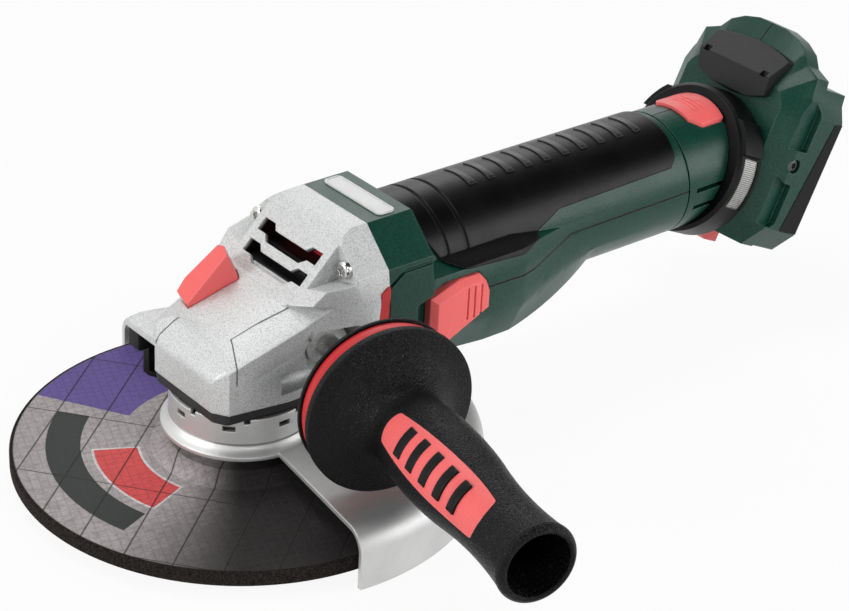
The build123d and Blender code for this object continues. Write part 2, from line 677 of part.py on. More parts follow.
# Motor: shaft, core, fan, bearings and stator
SHAFT_R = 5.0
SHAFT_REAR_R = 4.0
CORE_R = 13.8
CORE_FRONT = 74.0
CORE_REAR = 116.0
REAR_BEARING_X = 126.0
REAR_BEARING_R = 11.0
REAR_BEARING_WIDE = 7.0
FAN_X = 47.0
FAN_R = FAN_ROOM - 1.5
with BuildPart() as rotor_shaft:
    with BuildSketch(Plane.XZ):
        Polygon(
            (CROWN_RADIUS * INNER_SCALE + 1.2, AXIS_Z),
            (CROWN_RADIUS * INNER_SCALE + 1.2, AXIS_Z + PINION_BORE),
            (PINION_REAR, AXIS_Z + PINION_BORE),
            (PINION_REAR, AXIS_Z + SHAFT_R),
            (CORE_REAR + 4, AXIS_Z + SHAFT_R),
            (CORE_REAR + 4, AXIS_Z + SHAFT_REAR_R),
            (REAR_BEARING_X + REAR_BEARING_WIDE, AXIS_Z + SHAFT_REAR_R),
            (REAR_BEARING_X + REAR_BEARING_WIDE, AXIS_Z),
            align=None,
        )
    revolve(axis=MOTOR_AXIS)

with BuildPart() as rotor_core:
    with BuildSketch(Plane.YZ.offset(CORE_FRONT)):
        with Locations((0, AXIS_Z)):
            Circle(CORE_R)
            Circle(SHAFT_R, mode=Mode.SUBTRACT)
    extrude(amount=CORE_REAR - CORE_FRONT)

with BuildPart() as fan:
    with BuildSketch(Plane.YZ.offset(FAN_X)):
        with Locations((0, AXIS_Z)):
            Circle(FAN_R)
            Circle(SHAFT_R, mode=Mode.SUBTRACT)
    extrude(amount=1.6)
    with BuildSketch(Plane.YZ.offset(FAN_X)):
        with Locations((0, AXIS_Z)):
            Circle(SHAFT_R + 3.5)
            Circle(SHAFT_R, mode=Mode.SUBTRACT)
    extrude(amount=10)
    with BuildSketch(Plane.YZ.offset(FAN_X + 1.6)):
        with Locations((0, AXIS_Z)):
            with PolarLocations((FAN_R + 12) / 2, 13):
                Rectangle(FAN_R - 13, 1.4, rotation=24)
    extrude(amount=8)

front_bearing = ball_bearing(
    across_motor(FRONT_BEARING_X), SHAFT_R + RUN_GAP, FRONT_BEARING_R, FRONT_BEARING_WIDE
)
rear_bearing = ball_bearing(
    across_motor(REAR_BEARING_X), SHAFT_REAR_R + RUN_GAP, REAR_BEARING_R, REAR_BEARING_WIDE
)

with BuildPart() as bearing_bridge:
    with BuildSketch(Plane.YZ.offset(REAR_BEARING_X - 3)):
        with Locations((0, AXIS_Z)):
            Circle(BORE_R)
            Circle(SHAFT_R + 1, mode=Mode.SUBTRACT)
            with PolarLocations(18, 6):
                Circle(3.4, mode=Mode.SUBTRACT)
    extrude(amount=REAR_BEARING_WIDE + 3)
    with BuildSketch(Plane.YZ.offset(REAR_BEARING_X)):
        with Locations((0, AXIS_Z)):
            Circle(REAR_BEARING_R)
    extrude(amount=REAR_BEARING_WIDE, mode=Mode.SUBTRACT)

with BuildPart() as stator:
    with BuildSketch(Plane.YZ.offset(CORE_FRONT - 2)):
        with Locations((0, AXIS_Z)):
            Circle(BORE_R)
            Circle(CORE_R + 0.6, mode=Mode.SUBTRACT)
            with PolarLocations(18.2, 6):
                Circle(2.8, mode=Mode.SUBTRACT)
    extrude(amount=CORE_REAR - CORE_FRONT + 4)

# Motor housing: collar, hips that carry the switch, barrel and rear spigot
HIP_HALF = BARREL_R + 8.7
HIP_START = HEAD_REAR + 10
HIP_DEEP = 98.0
HIP_END = 112.0
HIP_TOP = AXIS_Z + 9.8
SPIGOT_R = BORE_R - 0.3
SPIGOT_END = 217.0
hip_edge = [(HIP_HALF - 11.5, HIP_TOP), (HIP_HALF - 2.2, HIP_TOP - 3.4), (HIP_HALF, AXIS_Z)]
hip_front = (HIP_START, hip_edge + [(HIP_HALF, 50), (HIP_HALF - 7.5, HEAD_BOTTOM - 0.5)])
hip_deep = (HIP_DEEP, hip_edge + [(HIP_HALF, 49), (HIP_HALF - 7, 33.8)])
hip_end = (HIP_END, hip_deep[1])
hip_mid = (134.0, [(20, 75), (27.5, 72), (29.5, 66.5), (30.5, 54), (25.5, 38)])
hip_tail = (165.0, [(16, 74), (22.5, 71.5), (24, 67), (24, 55), (17, 46.5)])
SEAM_WIDE = 0.6
SEAM_DEEP = 0.5
seam_side = [(HIP_END - 20, 62.5), (HIP_END + 8, 62), (144, 67.5), (BARREL_REAR + 1, 68.2)]
seam_plan = [(90, HIP_HALF), (HIP_END, HIP_HALF), (134, 30), (152, BARREL_R), (BARREL_REAR + 1, BARREL_R)]
COLLAR_LINE = [(HEAD_REAR - 1, 76.6), (50.5, 82), (COLLAR_REAR + 1, 82)]
SWITCH_REAR = 92.0
SWITCH_LONG = 28.0
SWITCH_LOW = 46.0
SWITCH_HIGH = 70.0
SWITCH_FRONT = SWITCH_REAR - SWITCH_LONG
SWITCH_FACE = HIP_HALF + 2.2
SWITCH_FLOOR = BARREL_R + 4.8
slider_side = [
    (SWITCH_FRONT, SWITCH_LOW),
    (SWITCH_FRONT, SWITCH_HIGH - 4.5),
    (SWITCH_FRONT + 15, SWITCH_HIGH),
    (SWITCH_REAR - 3.5, SWITCH_HIGH),
    (SWITCH_REAR, SWITCH_HIGH - 4),
    (SWITCH_REAR, SWITCH_LOW + 9),
    (SWITCH_REAR - 20, SWITCH_LOW),
]
LINK_Z = 57.0
LINK_FRONT = 78.0
LINK_HIGH = 5.0
LINK_DEEP = 3.0
MODULE_FRONT = 104.0
MODULE_REAR = 117.0
MODULE_HIGH = 14.0
MODULE_IN = BARREL_R + 0.2
MODULE_THICK = 5.5


def hip_body(stations, grow, ruled):
    """A loft through stations of (x, outline), each outline grown by an amount."""
    with BuildPart() as hips:
        for x, outline in stations:
            with BuildSketch(Plane.YZ.offset(x)):
                Polygon(*both_sides(outline), align=None)
                if grow > 0:
                    offset(amount=grow, kind=Kind.INTERSECTION)
        loft(ruled=ruled)
    return hips


with BuildPart() as seam:
    with BuildSketch(Plane.XZ):
        with BuildLine():
            Polyline(*seam_side)
        trace(line_width=SEAM_WIDE)
    extrude(amount=2 * HIP_HALF, both=True)
    with BuildSketch(Plane.XY.offset(AXIS_Z - HIP_HALF)):
        inner = [(x, y - SEAM_DEEP) for x, y in seam_plan]
        Polygon(*inner, (BARREL_REAR + 1, 2 * HIP_HALF), (90, 2 * HIP_HALF), align=None)
        mirror(about=Plane.XZ)
    extrude(amount=2 * HIP_HALF, mode=Mode.INTERSECT)

with BuildPart() as motor_housing:
    with BuildSketch(Plane.YZ.offset(HEAD_REAR)):
        Polygon(*both_sides(head_section), align=None)
    extrude(amount=COLLAR_REAR - HEAD_REAR)
    chamfer(motor_housing.faces().sort_by(Axis.X)[-1].edges(), length=1.6)
    with BuildSketch(Plane.YZ.offset(HIP_START)):
        with Locations((0, AXIS_Z)):
            Circle(BARREL_R)
    extrude(amount=BARREL_REAR - HIP_START)
    add(hip_body((hip_front, hip_deep, hip_end), 0, True).part)
    add(hip_body((hip_end, hip_mid, hip_tail), 0, False).part)
    with BuildSketch(Plane.YZ.offset(BARREL_REAR)):
        with Locations((0, AXIS_Z)):
            Circle(SPIGOT_R)
    extrude(amount=SPIGOT_END - BARREL_REAR)
    for start, end, radius in (
        (HEAD_REAR, COLLAR_REAR - 4, FAN_ROOM),
        (COLLAR_REAR - 4, BARREL_REAR - 5, BORE_R),
        (BARREL_REAR - 5, SPIGOT_END, SPIGOT_R - WALL),
    ):
        with BuildSketch(Plane.YZ.offset(start)):
            with Locations((0, AXIS_Z)):
                Circle(radius)
        extrude(amount=end - start, mode=Mode.SUBTRACT)
    with BuildSketch(Plane.YZ.offset(HEAD_REAR)):
        with Locations(*SCREW_PLACES):
            Circle(SCREW_R)
    extrude(amount=SCREW_END - HEAD_REAR, mode=Mode.SUBTRACT)
    # Step line on the collar and parting line along hips and barrel
    for side in (-1, 1):
        with BuildSketch(Plane.XZ.offset(side * (HEAD_HALF - 2.7))):
            with BuildLine():
                Polyline(*COLLAR_LINE)
            trace(line_width=1.8)
        extrude(amount=side * 10, mode=Mode.SUBTRACT)
    add(seam.part, mode=Mode.SUBTRACT)
    # Room for the slide switch over its travel, its link and the switch module
    with BuildSketch(Plane.XZ.offset(SWITCH_FLOOR)) as switch_room:
        Polygon(*slider_side, align=None)
        with Locations((-SWITCH_TRAVEL, 0)):
            Polygon(*slider_side, align=None)
        make_hull(switch_room.edges())
        offset(amount=FREE_GAP, kind=Kind.INTERSECTION)
    extrude(amount=20, mode=Mode.SUBTRACT)
    with BuildSketch(Plane.XZ.offset(SWITCH_FLOOR - LINK_DEEP)):
        link_room = LINK_FRONT - SWITCH_TRAVEL - 1
        with Locations(((link_room + MODULE_FRONT) / 2, LINK_Z)):
            Rectangle(MODULE_FRONT - link_room, LINK_HIGH)
    extrude(amount=LINK_DEEP, mode=Mode.SUBTRACT)
    with BuildSketch(Plane.XZ.offset(MODULE_IN)):
        with Locations(((MODULE_FRONT + MODULE_REAR) / 2, LINK_Z)):
            Rectangle(MODULE_REAR - MODULE_FRONT, MODULE_HIGH)
    extrude(amount=MODULE_THICK + 0.5, mode=Mode.SUBTRACT)

# Soft grip over the top of barrel and hips, trimmed by its side outline
GRIP_FRONT = COLLAR_REAR + 0.6
GRIP_REAR = 207.5
GRIP_GROOVES = (79, 89)
with BuildPart() as grip:
    with BuildSketch(Plane.YZ.offset(GRIP_FRONT)):
        with Locations((0, AXIS_Z)):
            Circle(BARREL_R + GRIP_THICK)
    extrude(amount=GRIP_REAR - GRIP_FRONT)
    add(hip_body((hip_front, hip_deep, hip_end), GRIP_THICK, True).part)
    add(hip_body((hip_end, hip_mid, hip_tail), GRIP_THICK, False).part)
    with BuildSketch(Plane.XZ):
        Polygon(
            (GRIP_FRONT, 100),
            (GRIP_FRONT, 86),
            (71, 84),
            (76, 75.5),
            (84, 72.8),
            (114, 71),
            (124, 73.5),
            (139, 79.5),
            (202, 80.5),
            (GRIP_REAR - 1.5, 84),
            (GRIP_REAR, 90),
            (GRIP_REAR, 100),
            align=None,
        )
    extrude(amount=60, both=True, mode=Mode.INTERSECT)
    for groove in GRIP_GROOVES:
        with BuildSketch(Plane.YZ.offset(groove)):
            with Locations((0, AXIS_Z)):
                Circle(BARREL_R + GRIP_THICK + 1)
                Circle(BARREL_R + GRIP_THICK - 0.6, mode=Mode.SUBTRACT)
            with Locations((0, HIP_TOP + BARREL_R + 0.4)):
                Rectangle(4 * BARREL_R, 2 * BARREL_R, mode=Mode.INTERSECT)
        extrude(amount=1.6, mode=Mode.SUBTRACT)
    add(motor_housing.part, mode=Mode.SUBTRACT)
    with BuildSketch(Plane.YZ.offset(GRIP_FRONT)):
        with Locations((0, AXIS_Z)):
            Circle(BARREL_R - 0.1)
    extrude(amount=GRIP_REAR - GRIP_FRONT, mode=Mode.SUBTRACT)

# Slide switch with its link and the module it works
with BuildPart() as switch_slider:
    with BuildSketch(Plane.XZ.offset(SWITCH_FLOOR + FREE_GAP)):
        Polygon(*slider_side, align=None)
    extrude(amount=SWITCH_FACE - SWITCH_FLOOR - FREE_GAP)
    top_edges = switch_slider.faces().sort_by(Axis.Y)[0].edges()
    chamfer(top_edges.sort_by(Axis.X)[:1] + top_edges.sort_by(Axis.Z)[-3:], length=2.4)
    for step in range(3):
        with BuildSketch(Plane.XZ.offset(SWITCH_FACE)):
            with Locations((SWITCH_REAR - 4 - 3.4 * step, SWITCH_HIGH - 10.5)):
                Rectangle(1.1, 14)
        extrude(amount=-0.8, mode=Mode.SUBTRACT)

with BuildPart() as switch_link:
    with BuildSketch(Plane.XZ.offset(SWITCH_FLOOR - LINK_DEEP + FREE_GAP)):
        with Locations(((LINK_FRONT + MODULE_FRONT - FREE_GAP) / 2, LINK_Z)):
            Rectangle(MODULE_FRONT - FREE_GAP - LINK_FRONT, LINK_HIGH - 2 * FREE_GAP)
    extrude(amount=LINK_DEEP - 2 * FREE_GAP)
    with BuildSketch(Plane.XZ.offset(SWITCH_FLOOR - LINK_DEEP + FREE_GAP)):
        with Locations((LINK_FRONT + 4, LINK_Z)):
            Rectangle(6, LINK_HIGH - 2 * FREE_GAP)
    extrude(amount=LINK_DEEP)

with BuildPart() as switch_module:
    with BuildSketch(Plane.XZ.offset(MODULE_IN)):
        with Locations(((MODULE_FRONT + MODULE_REAR) / 2, LINK_Z)):
            Rectangle(MODULE_REAR - MODULE_FRONT, MODULE_HIGH)
    extrude(amount=MODULE_THICK)

with BuildPart() as control_module:
    with BuildSketch(Plane.YZ.offset(142)):
        with Locations((0, AXIS_Z)):
            Rectangle(36, 30)
            Circle(BORE_R, mode=Mode.INTERSECT)
    extrude(amount=56)
    with BuildSketch(Plane.YZ.offset(142)):
        with Locations((0, AXIS_Z + 15)):
            with GridLocations(6, 0, 5, 1):
                Rectangle(2.4, 10)
    extrude(amount=56, mode=Mode.SUBTRACT)

# Rear frame: tilted with the battery foot; n runs along its axis, u up its face
TILT_COS = cos(radians(FOOT_TILT))
TILT_SIN = sin(radians(FOOT_TILT))


def foot_plane(n):
    """A plane across the foot's axis: local x runs up the face, local y to the handle side."""
    origin = (RING_X + n * TILT_COS, 0, RING_Z - n * TILT_SIN)
    return Plane(origin=origin, x_dir=(TILT_SIN, 0, TILT_COS), z_dir=(TILT_COS, 0, -TILT_SIN))


def foot_point(n, u):
    """The (x, z) of a point n along the foot's axis and u up its face."""
    return (RING_X + n * TILT_COS + u * TILT_SIN, RING_Z - n * TILT_SIN + u * TILT_COS)


RING_WIDE = 14.5
FOOT_FRONT = 24.0
TONGUE_THICK = 8.0
FOOT_HALF = FOOT_WIDTH / 2
SLOT_HALF = FOOT_HALF - 8
SLOT_FLOOR = FOOT_FACE - 14
SLEEVE_FRONT = BARREL_REAR + 0.9
NECK_TUBE_R = 25.0
foot_outline = [
    (FOOT_TOP, 8),
    (FOOT_TOP - 2, 16),
    (FOOT_TOP - 5.5, 22.5),
    (FOOT_TOP - 10.5, 26.5),
    (FOOT_TOP - 13.5, 34),
    (FOOT_TOP - 22, FOOT_HALF - 4),
    (FOOT_TOP - 29, FOOT_HALF),
    (FOOT_BOTTOM + 11, FOOT_HALF),
    (FOOT_BOTTOM, FOOT_HALF - 8.5),
]
neck_outline = [
    (46, 6),
    (45.5, 12),
    (45, 17),
    (44, 20),
    (42, 24),
    (39, 27),
    (36, 28.5),
    (FOOT_BOTTOM + 11, 28.5),
    (FOOT_BOTTOM + 1, 21),
]
CAP_HALF = 21.5
CAP_LOW = RING_R + 0.8
CAP_NOTCH = (46.5, 17)
cap_side = [(9.4, 46), (20.3, 59), (FOOT_FRONT, 59), (FOOT_FRONT, 36.5), (15, CAP_LOW), (12, CAP_LOW + 1)]
LATCH_HALF = 14.2
LATCH_FRONT = 224.0
LATCH_LONG = 20.0
latch_plan = [
    (LATCH_FRONT, LATCH_HALF - 4.2),
    (LATCH_FRONT + 4.5, LATCH_HALF),
    (LATCH_FRONT + LATCH_LONG, LATCH_HALF),
]
LATCH_R = BARREL_R + 1.3
LATCH_TRAVEL = 1.5
LATCH_FLOOR = AXIS_Z + sqrt((BARREL_R - 2.2) ** 2 - LATCH_HALF**2) - LATCH_TRAVEL - 0.8
LOW_LATCH_HALF = 13.0
LOW_LATCH_FRONT = 18.0
LOW_LATCH_REAR = SLOT_FLOOR - 1.6
LOW_LATCH_DROP = 5.6
LOW_LATCH_TOP = FOOT_BOTTOM + 1.5
NECK_BORE = 18.0
FOOT_SCREWS = [(26.4, 15, 1), (29, -16, -1)]
FOOT_SCREW_R = 1.6
FOOT_SCREW_SEAT = FOOT_HALF - 2.6
PANEL_DEEP = 3.3
upper_panel = [(12, 20), (20, 20.2), (22.5, 21.8), (30.5, 22), (30.5, 40), (27, 44.5), (12, 44.5)]
lower_panel = [(12, 10), (20.3, 9.6), (24, 7), (29.5, 6.6), (29.4, -11.5), (27, -13.5), (12, -13.5)]
STRIP_DEEP = 3.0
STRIP_GAP = 0.2
SLEEVE_VENTS = [(224, 67), (224, 58.7)]


def strip_side(gap):
    """Side outline of a battery rail strip, drawn in by a gap."""
    corners = [(FOOT_FACE, -14 + gap), (34 + gap, -14 + gap), (41 + gap, 37 - gap), (FOOT_FACE, 38 - gap)]
    return [foot_point(n, u) for n, u in corners]


with BuildPart() as electronics_cap:
    with BuildSketch(Plane.XZ):
        Polygon(*[foot_point(n, u) for n, u in cap_side], align=None)
    extrude(amount=CAP_HALF, both=True)
    with BuildSketch(foot_plane(0)):
        with BuildLine():
            ThreePointArc((38, -CAP_HALF + 1.5), (CAP_LOW, 0), (38, CAP_HALF - 1.5))
            Line((38, CAP_HALF - 1.5), (55, CAP_HALF))
            ThreePointArc((55, CAP_HALF), (58, 0), (55, -CAP_HALF))
            Line((55, -CAP_HALF), (38, -CAP_HALF + 1.5))
        make_face()
    extrude(amount=FOOT_FRONT, mode=Mode.INTERSECT)
    with BuildSketch(foot_plane(8)):
        with Locations((CAP_NOTCH[0], CAP_NOTCH[1]), (CAP_NOTCH[0], -CAP_NOTCH[1])):
            Rectangle(2.6, 3.6)
    extrude(amount=4.2, mode=Mode.SUBTRACT)

with BuildPart() as rear_shell:
    # Sleeve behind the barrel, cut square to the foot's axis
    with BuildSketch(Plane.YZ.offset(SLEEVE_FRONT)):
        with Locations((0, AXIS_Z)):
            Circle(BARREL_R)
    extrude(amount=50)
    with BuildSketch(foot_plane(0)):
        Rectangle(160, 160)
    extrude(amount=60, mode=Mode.SUBTRACT)
    # Neck inside the filter ring, then the flared foot
    with BuildSketch(foot_plane(-6)):
        Circle(NECK_TUBE_R - 2)
    extrude(amount=RING_WIDE + 7)
    with BuildSketch(foot_plane(RING_WIDE + 0.4)):
        Polygon(*plan_outline(neck_outline), align=None)
    with BuildSketch(foot_plane(FOOT_FRONT)):
        Polygon(*plan_outline(foot_outline), align=None)
    loft(ruled=True)
    with BuildSketch(foot_plane(FOOT_FRONT)):
        Polygon(*plan_outline(foot_outline), align=None)
    extrude(amount=FOOT_FACE - FOOT_FRONT)
    with BuildSketch(foot_plane(FOOT_FRONT + TONGUE_THICK)):
        with Locations((FOOT_TOP, 0)):
            Rectangle(2 * 17, 100)
    extrude(amount=40, mode=Mode.SUBTRACT)
    # Battery slot, open at the bottom
    with BuildSketch(foot_plane(SLOT_FLOOR)):
        with Locations(((FOOT_TOP - 20 + FOOT_BOTTOM - 10) / 2, 0)):
            Rectangle(FOOT_TOP - 20 - FOOT_BOTTOM + 10, 2 * SLOT_HALF)
    extrude(amount=FOOT_FACE, mode=Mode.SUBTRACT)
    # Bores of sleeve and neck
    with BuildSketch(Plane.YZ.offset(SLEEVE_FRONT)):
        with Locations((0, AXIS_Z)):
            Circle(SPIGOT_R)
    extrude(amount=SPIGOT_END + 1 - SLEEVE_FRONT, mode=Mode.SUBTRACT)
    with BuildSketch(foot_plane(-12)):
        Circle(NECK_BORE)
    extrude(amount=FOOT_FRONT + 12, mode=Mode.SUBTRACT)
    # Sunk panels and rail recesses of the foot, vent slots of the sleeve
    for side in (-1, 1):
        for panel in (upper_panel, lower_panel):
            with BuildSketch(Plane.XZ.offset(side * (FOOT_HALF - PANEL_DEEP))):
                Polygon(*[foot_point(n, u) for n, u in panel], align=None)
            extrude(amount=side * 20, mode=Mode.SUBTRACT)
        with BuildSketch(Plane.XZ.offset(side * (FOOT_HALF - STRIP_DEEP))):
            Polygon(*strip_side(0), align=None)
        extrude(amount=side * 20, mode=Mode.SUBTRACT)
        with BuildSketch(Plane.XZ.offset(side * (BARREL_R - 5))):
            with Locations(*SLEEVE_VENTS):
                Rectangle(16, 2.2)
        extrude(amount=side * 20, mode=Mode.SUBTRACT)
    for n, u, side in FOOT_SCREWS:
        with BuildSketch(Plane.XZ.offset(side * (12 - FOOT_HALF))):
            with Locations(foot_point(n, u)):
                Circle(FOOT_SCREW_R)
        extrude(amount=side * 2 * FOOT_HALF, mode=Mode.SUBTRACT)
        with BuildSketch(Plane.XZ.offset(side * FOOT_SCREW_SEAT)):
            with Locations(foot_point(n, u)):
                Circle(2 * FOOT_SCREW_R)
        extrude(amount=side * 20, mode=Mode.SUBTRACT)
    # Rooms for the two latches
    with BuildSketch(Plane.XY.offset(LATCH_FLOOR)):
        Polygon(*plan_outline(latch_plan), align=None)
        offset(amount=FREE_GAP, kind=Kind.INTERSECTION)
    extrude(amount=20, mode=Mode.SUBTRACT)
    with BuildSketch(foot_plane(LOW_LATCH_FRONT - FREE_GAP)):
        with Locations((FOOT_BOTTOM, 0)):
            Rectangle(2 * (LOW_LATCH_TOP + LATCH_TRAVEL + 1 - FOOT_BOTTOM), 2 * LOW_LATCH_HALF + 2 * FREE_GAP)
    extrude(amount=LOW_LATCH_REAR - LOW_LATCH_FRONT + 2 * FREE_GAP, mode=Mode.SUBTRACT)
    add(electronics_cap.part, mode=Mode.SUBTRACT)

with BuildPart() as rear_shell_right:
    add(rear_shell.part)
    split(bisect_by=Plane.XZ, keep=Keep.TOP)

with BuildPart() as rear_shell_left:
    add(rear_shell.part)
    split(bisect_by=Plane.XZ, keep=Keep.BOTTOM)

with BuildPart() as shell_screws:
    for n, u, side in FOOT_SCREWS:
        with BuildSketch(Plane.XZ.offset(side * (12 - FOOT_HALF))):
            with Locations(foot_point(n, u)):
                Circle(FOOT_SCREW_R)
        extrude(amount=side * (FOOT_SCREW_SEAT + FOOT_HALF - 12))
        with BuildSketch(Plane.XZ.offset(side * FOOT_SCREW_SEAT)):
            with Locations(foot_point(n, u)):
                Circle(1.8 * FOOT_SCREW_R)
        extrude(amount=side * 2)

with BuildPart() as rail_strips:
    for side in (-1, 1):
        with BuildSketch(Plane.XZ.offset(side * (FOOT_HALF - STRIP_DEEP))):
            Polygon(*strip_side(STRIP_GAP), align=None)
        extrude(amount=side * (STRIP_DEEP + 0.2))

with BuildPart() as contact_block:
    with BuildSketch(foot_plane(SLOT_FLOOR)):
        with Locations((14, 0)):
            Rectangle(36, 34)
    extrude(amount=3)
    with BuildSketch(foot_plane(SLOT_FLOOR + 3)):
        with Locations((14, 0)):
            with GridLocations(0, 8, 1, 4):
                Rectangle(24, 1.2)
    extrude(amount=6)

# Filter latches
with BuildPart() as latch_top:
    with BuildSketch(Plane.YZ.offset(LATCH_FRONT)):
        with Locations((0, AXIS_Z)):
            Circle(LATCH_R)
            Circle(BARREL_R - 2.2, mode=Mode.SUBTRACT)
        with Locations((0, AXIS_Z + 30)):
            Rectangle(2 * LATCH_HALF, 40, mode=Mode.INTERSECT)
    extrude(amount=LATCH_LONG)
    with BuildSketch(Plane.XY.offset(AXIS_Z)):
        Polygon(*plan_outline(latch_plan), align=None)
    extrude(amount=2 * BARREL_R, mode=Mode.INTERSECT)
    with BuildSketch(foot_plane(-2 * FREE_GAP)):
        Rectangle(160, 160)
    extrude(amount=60, mode=Mode.SUBTRACT)

with BuildPart() as latch_bottom:
    with BuildSketch(Plane.XZ):
        low = FOOT_BOTTOM - LOW_LATCH_DROP
        corners = [
            (LOW_LATCH_FRONT, LOW_LATCH_TOP),
            (LOW_LATCH_FRONT, low + 3),
            (LOW_LATCH_FRONT + 4, low),
            (LOW_LATCH_REAR, low),
            (LOW_LATCH_REAR, LOW_LATCH_TOP),
        ]
        Polygon(*[foot_point(n, u) for n, u in corners], align=None)
    extrude(amount=LOW_LATCH_HALF, both=True)

# Dust filter ring with its mesh
MESH_R = RING_R - 0.6
MESH_THICK = 1.2
MESH_START = 3.8
MESH_WIDE = 9.2
MESH_HALF = 11.4
BLOCK_RISE = 1.6
BLOCK_AT = 19.2
BLOCK_HIGH = 12.4
BLOCK_START = 1.6
with BuildPart() as ring_blocks:
    with BuildSketch(foot_plane(BLOCK_START)):
        Circle(RING_R + BLOCK_RISE)
        Circle(RING_R - 1.5, mode=Mode.SUBTRACT)
        with Locations((BLOCK_AT, 0)):
            Rectangle(BLOCK_HIGH, 3 * RING_R, mode=Mode.INTERSECT)
    extrude(amount=RING_WIDE - BLOCK_START - 0.6)
    for face in ring_blocks.faces().filter_by(GeomType.CYLINDER).sort_by(SortBy.AREA)[-2:]:
        chamfer(face.edges(), length=1)

with BuildPart() as filter_frame:
    with BuildSketch(foot_plane(FREE_GAP)):
        Circle(RING_R)
        Circle(NECK_TUBE_R - 2, mode=Mode.SUBTRACT)
    extrude(amount=RING_WIDE - FREE_GAP)
    rims = filter_frame.edges().filter_by(GeomType.CIRCLE).group_by(SortBy.RADIUS)[-1]
    chamfer(rims.sort_by(Axis.X)[:1], length=1.5)
    add(ring_blocks.part)
    with BuildSketch(foot_plane(MESH_START)):
        Circle(RING_R + 1)
        Circle(MESH_R - MESH_THICK, mode=Mode.SUBTRACT)
        Rectangle(2 * MESH_HALF, 3 * RING_R, mode=Mode.INTERSECT)
    extrude(amount=MESH_WIDE, mode=Mode.SUBTRACT)

with BuildPart() as filter_mesh:
    with BuildSketch(foot_plane(MESH_START)):
        Circle(MESH_R)
        Circle(MESH_R - MESH_THICK, mode=Mode.SUBTRACT)
        Rectangle(2 * MESH_HALF, 3 * RING_R, mode=Mode.INTERSECT)
    extrude(amount=MESH_WIDE)

# Side handle, revolved about its own leaning axis
HANDLE_SIN = sin(radians(HANDLE_LEAN))
HANDLE_COS = cos(radians(HANDLE_LEAN))
handle_axis = Axis(HANDLE_AT, handle_out)
handle_plane = Plane(origin=HANDLE_AT, x_dir=handle_out, z_dir=(-HANDLE_COS, HANDLE_SIN, 0))
BOSS_S = (HANDLE_AT[1] + BOSS_FACE) / HANDLE_COS
STUD_COLLAR_R = 4.7
DISC_S = -12.4
DISC_R = HANDLE_FLANGE_R - 1
DAMPER_S = -10.6
DAMPER_R = HANDLE_FLANGE_R - 2.2
FLANGE_S = -3.4
FLANGE_RIM = 2.6
HUB_S = -32.0
CORE_S = 20.0
TUBE_R = 12.3
INLAY_THICK = 0.9
INLAY_S = 0.488 * HANDLE_LENGTH
INLAY_LONG = 0.29 * HANDLE_LENGTH
grip_neck = (0.149 * HANDLE_LENGTH, HANDLE_GRIP_R - 1.5)
grip_swell = (0.335 * HANDLE_LENGTH, HANDLE_GRIP_R)
grip_hold = (0.54 * HANDLE_LENGTH, HANDLE_GRIP_R - 1.1)
grip_waist = (0.78 * HANDLE_LENGTH, HANDLE_GRIP_R - 3)
grip_tail = (HANDLE_LENGTH - 5, HANDLE_GRIP_R - 1.8)
with BuildPart() as handle_stud:
    with BuildSketch(handle_plane):
        Polygon(
            (BOSS_S - HANDLE_HOLE_DEEP + 1.5, 0),
            (BOSS_S - HANDLE_HOLE_DEEP + 1.5, HANDLE_THREAD_R),
            (BOSS_S, HANDLE_THREAD_R),
            (BOSS_S, STUD_COLLAR_R),
            (HUB_S, STUD_COLLAR_R),
            (HUB_S, HANDLE_THREAD_R),
            (DAMPER_S, HANDLE_THREAD_R),
            (DAMPER_S, 0),
            align=None,
        )
    revolve(axis=handle_axis)

with BuildPart() as handle_disc:
    with BuildSketch(handle_plane):
        Polygon(
            (HUB_S, HANDLE_THREAD_R),
            (HUB_S, 10),
            (DISC_S - 6, 12.5),
            (DISC_S, 20),
            (DISC_S, DISC_R - 0.6),
            (DISC_S + 0.6, DISC_R),
            (DAMPER_S, DISC_R),
            (DAMPER_S, HANDLE_THREAD_R),
            align=None,
        )
    revolve(axis=handle_axis)

with BuildPart() as handle_damper:
    with BuildSketch(handle_plane):
        with BuildLine():
            Polyline((FLANGE_S, DAMPER_R), (FLANGE_S, 0), (DAMPER_S, 0), (DAMPER_S, DAMPER_R))
            middle = ((DAMPER_S + FLANGE_S) / 2, DAMPER_R + 0.7)
            ThreePointArc((DAMPER_S, DAMPER_R), middle, (FLANGE_S, DAMPER_R))
        make_face()
    revolve(axis=handle_axis)

with BuildPart() as handle_body:
    with BuildSketch(handle_plane):
        with BuildLine():
            rim = (FLANGE_S + FLANGE_RIM, HANDLE_FLANGE_R)
            mouth = (HANDLE_LENGTH - 0.6, TUBE_R + 1)
            Polyline((CORE_S, 0), (FLANGE_S, 0), (FLANGE_S, HANDLE_FLANGE_R), rim)
            Spline(rim, (1.4, 26.2), (6.2, 19.6), grip_neck, tangents=[(0.25, -1), (1, 0.13)])
            ThreePointArc(grip_neck, grip_swell, grip_hold)
            ThreePointArc(grip_hold, grip_waist, grip_tail)
            RadiusArc(grip_tail, mouth, 3.2)
            Polyline(
                mouth,
                (HANDLE_LENGTH - 1.2, TUBE_R),
                (HANDLE_LENGTH - 15.6, TUBE_R - 2.3),
                (CORE_S, TUBE_R - 3.3),
                (CORE_S, 0),
            )
        make_face()
    revolve(axis=handle_axis)

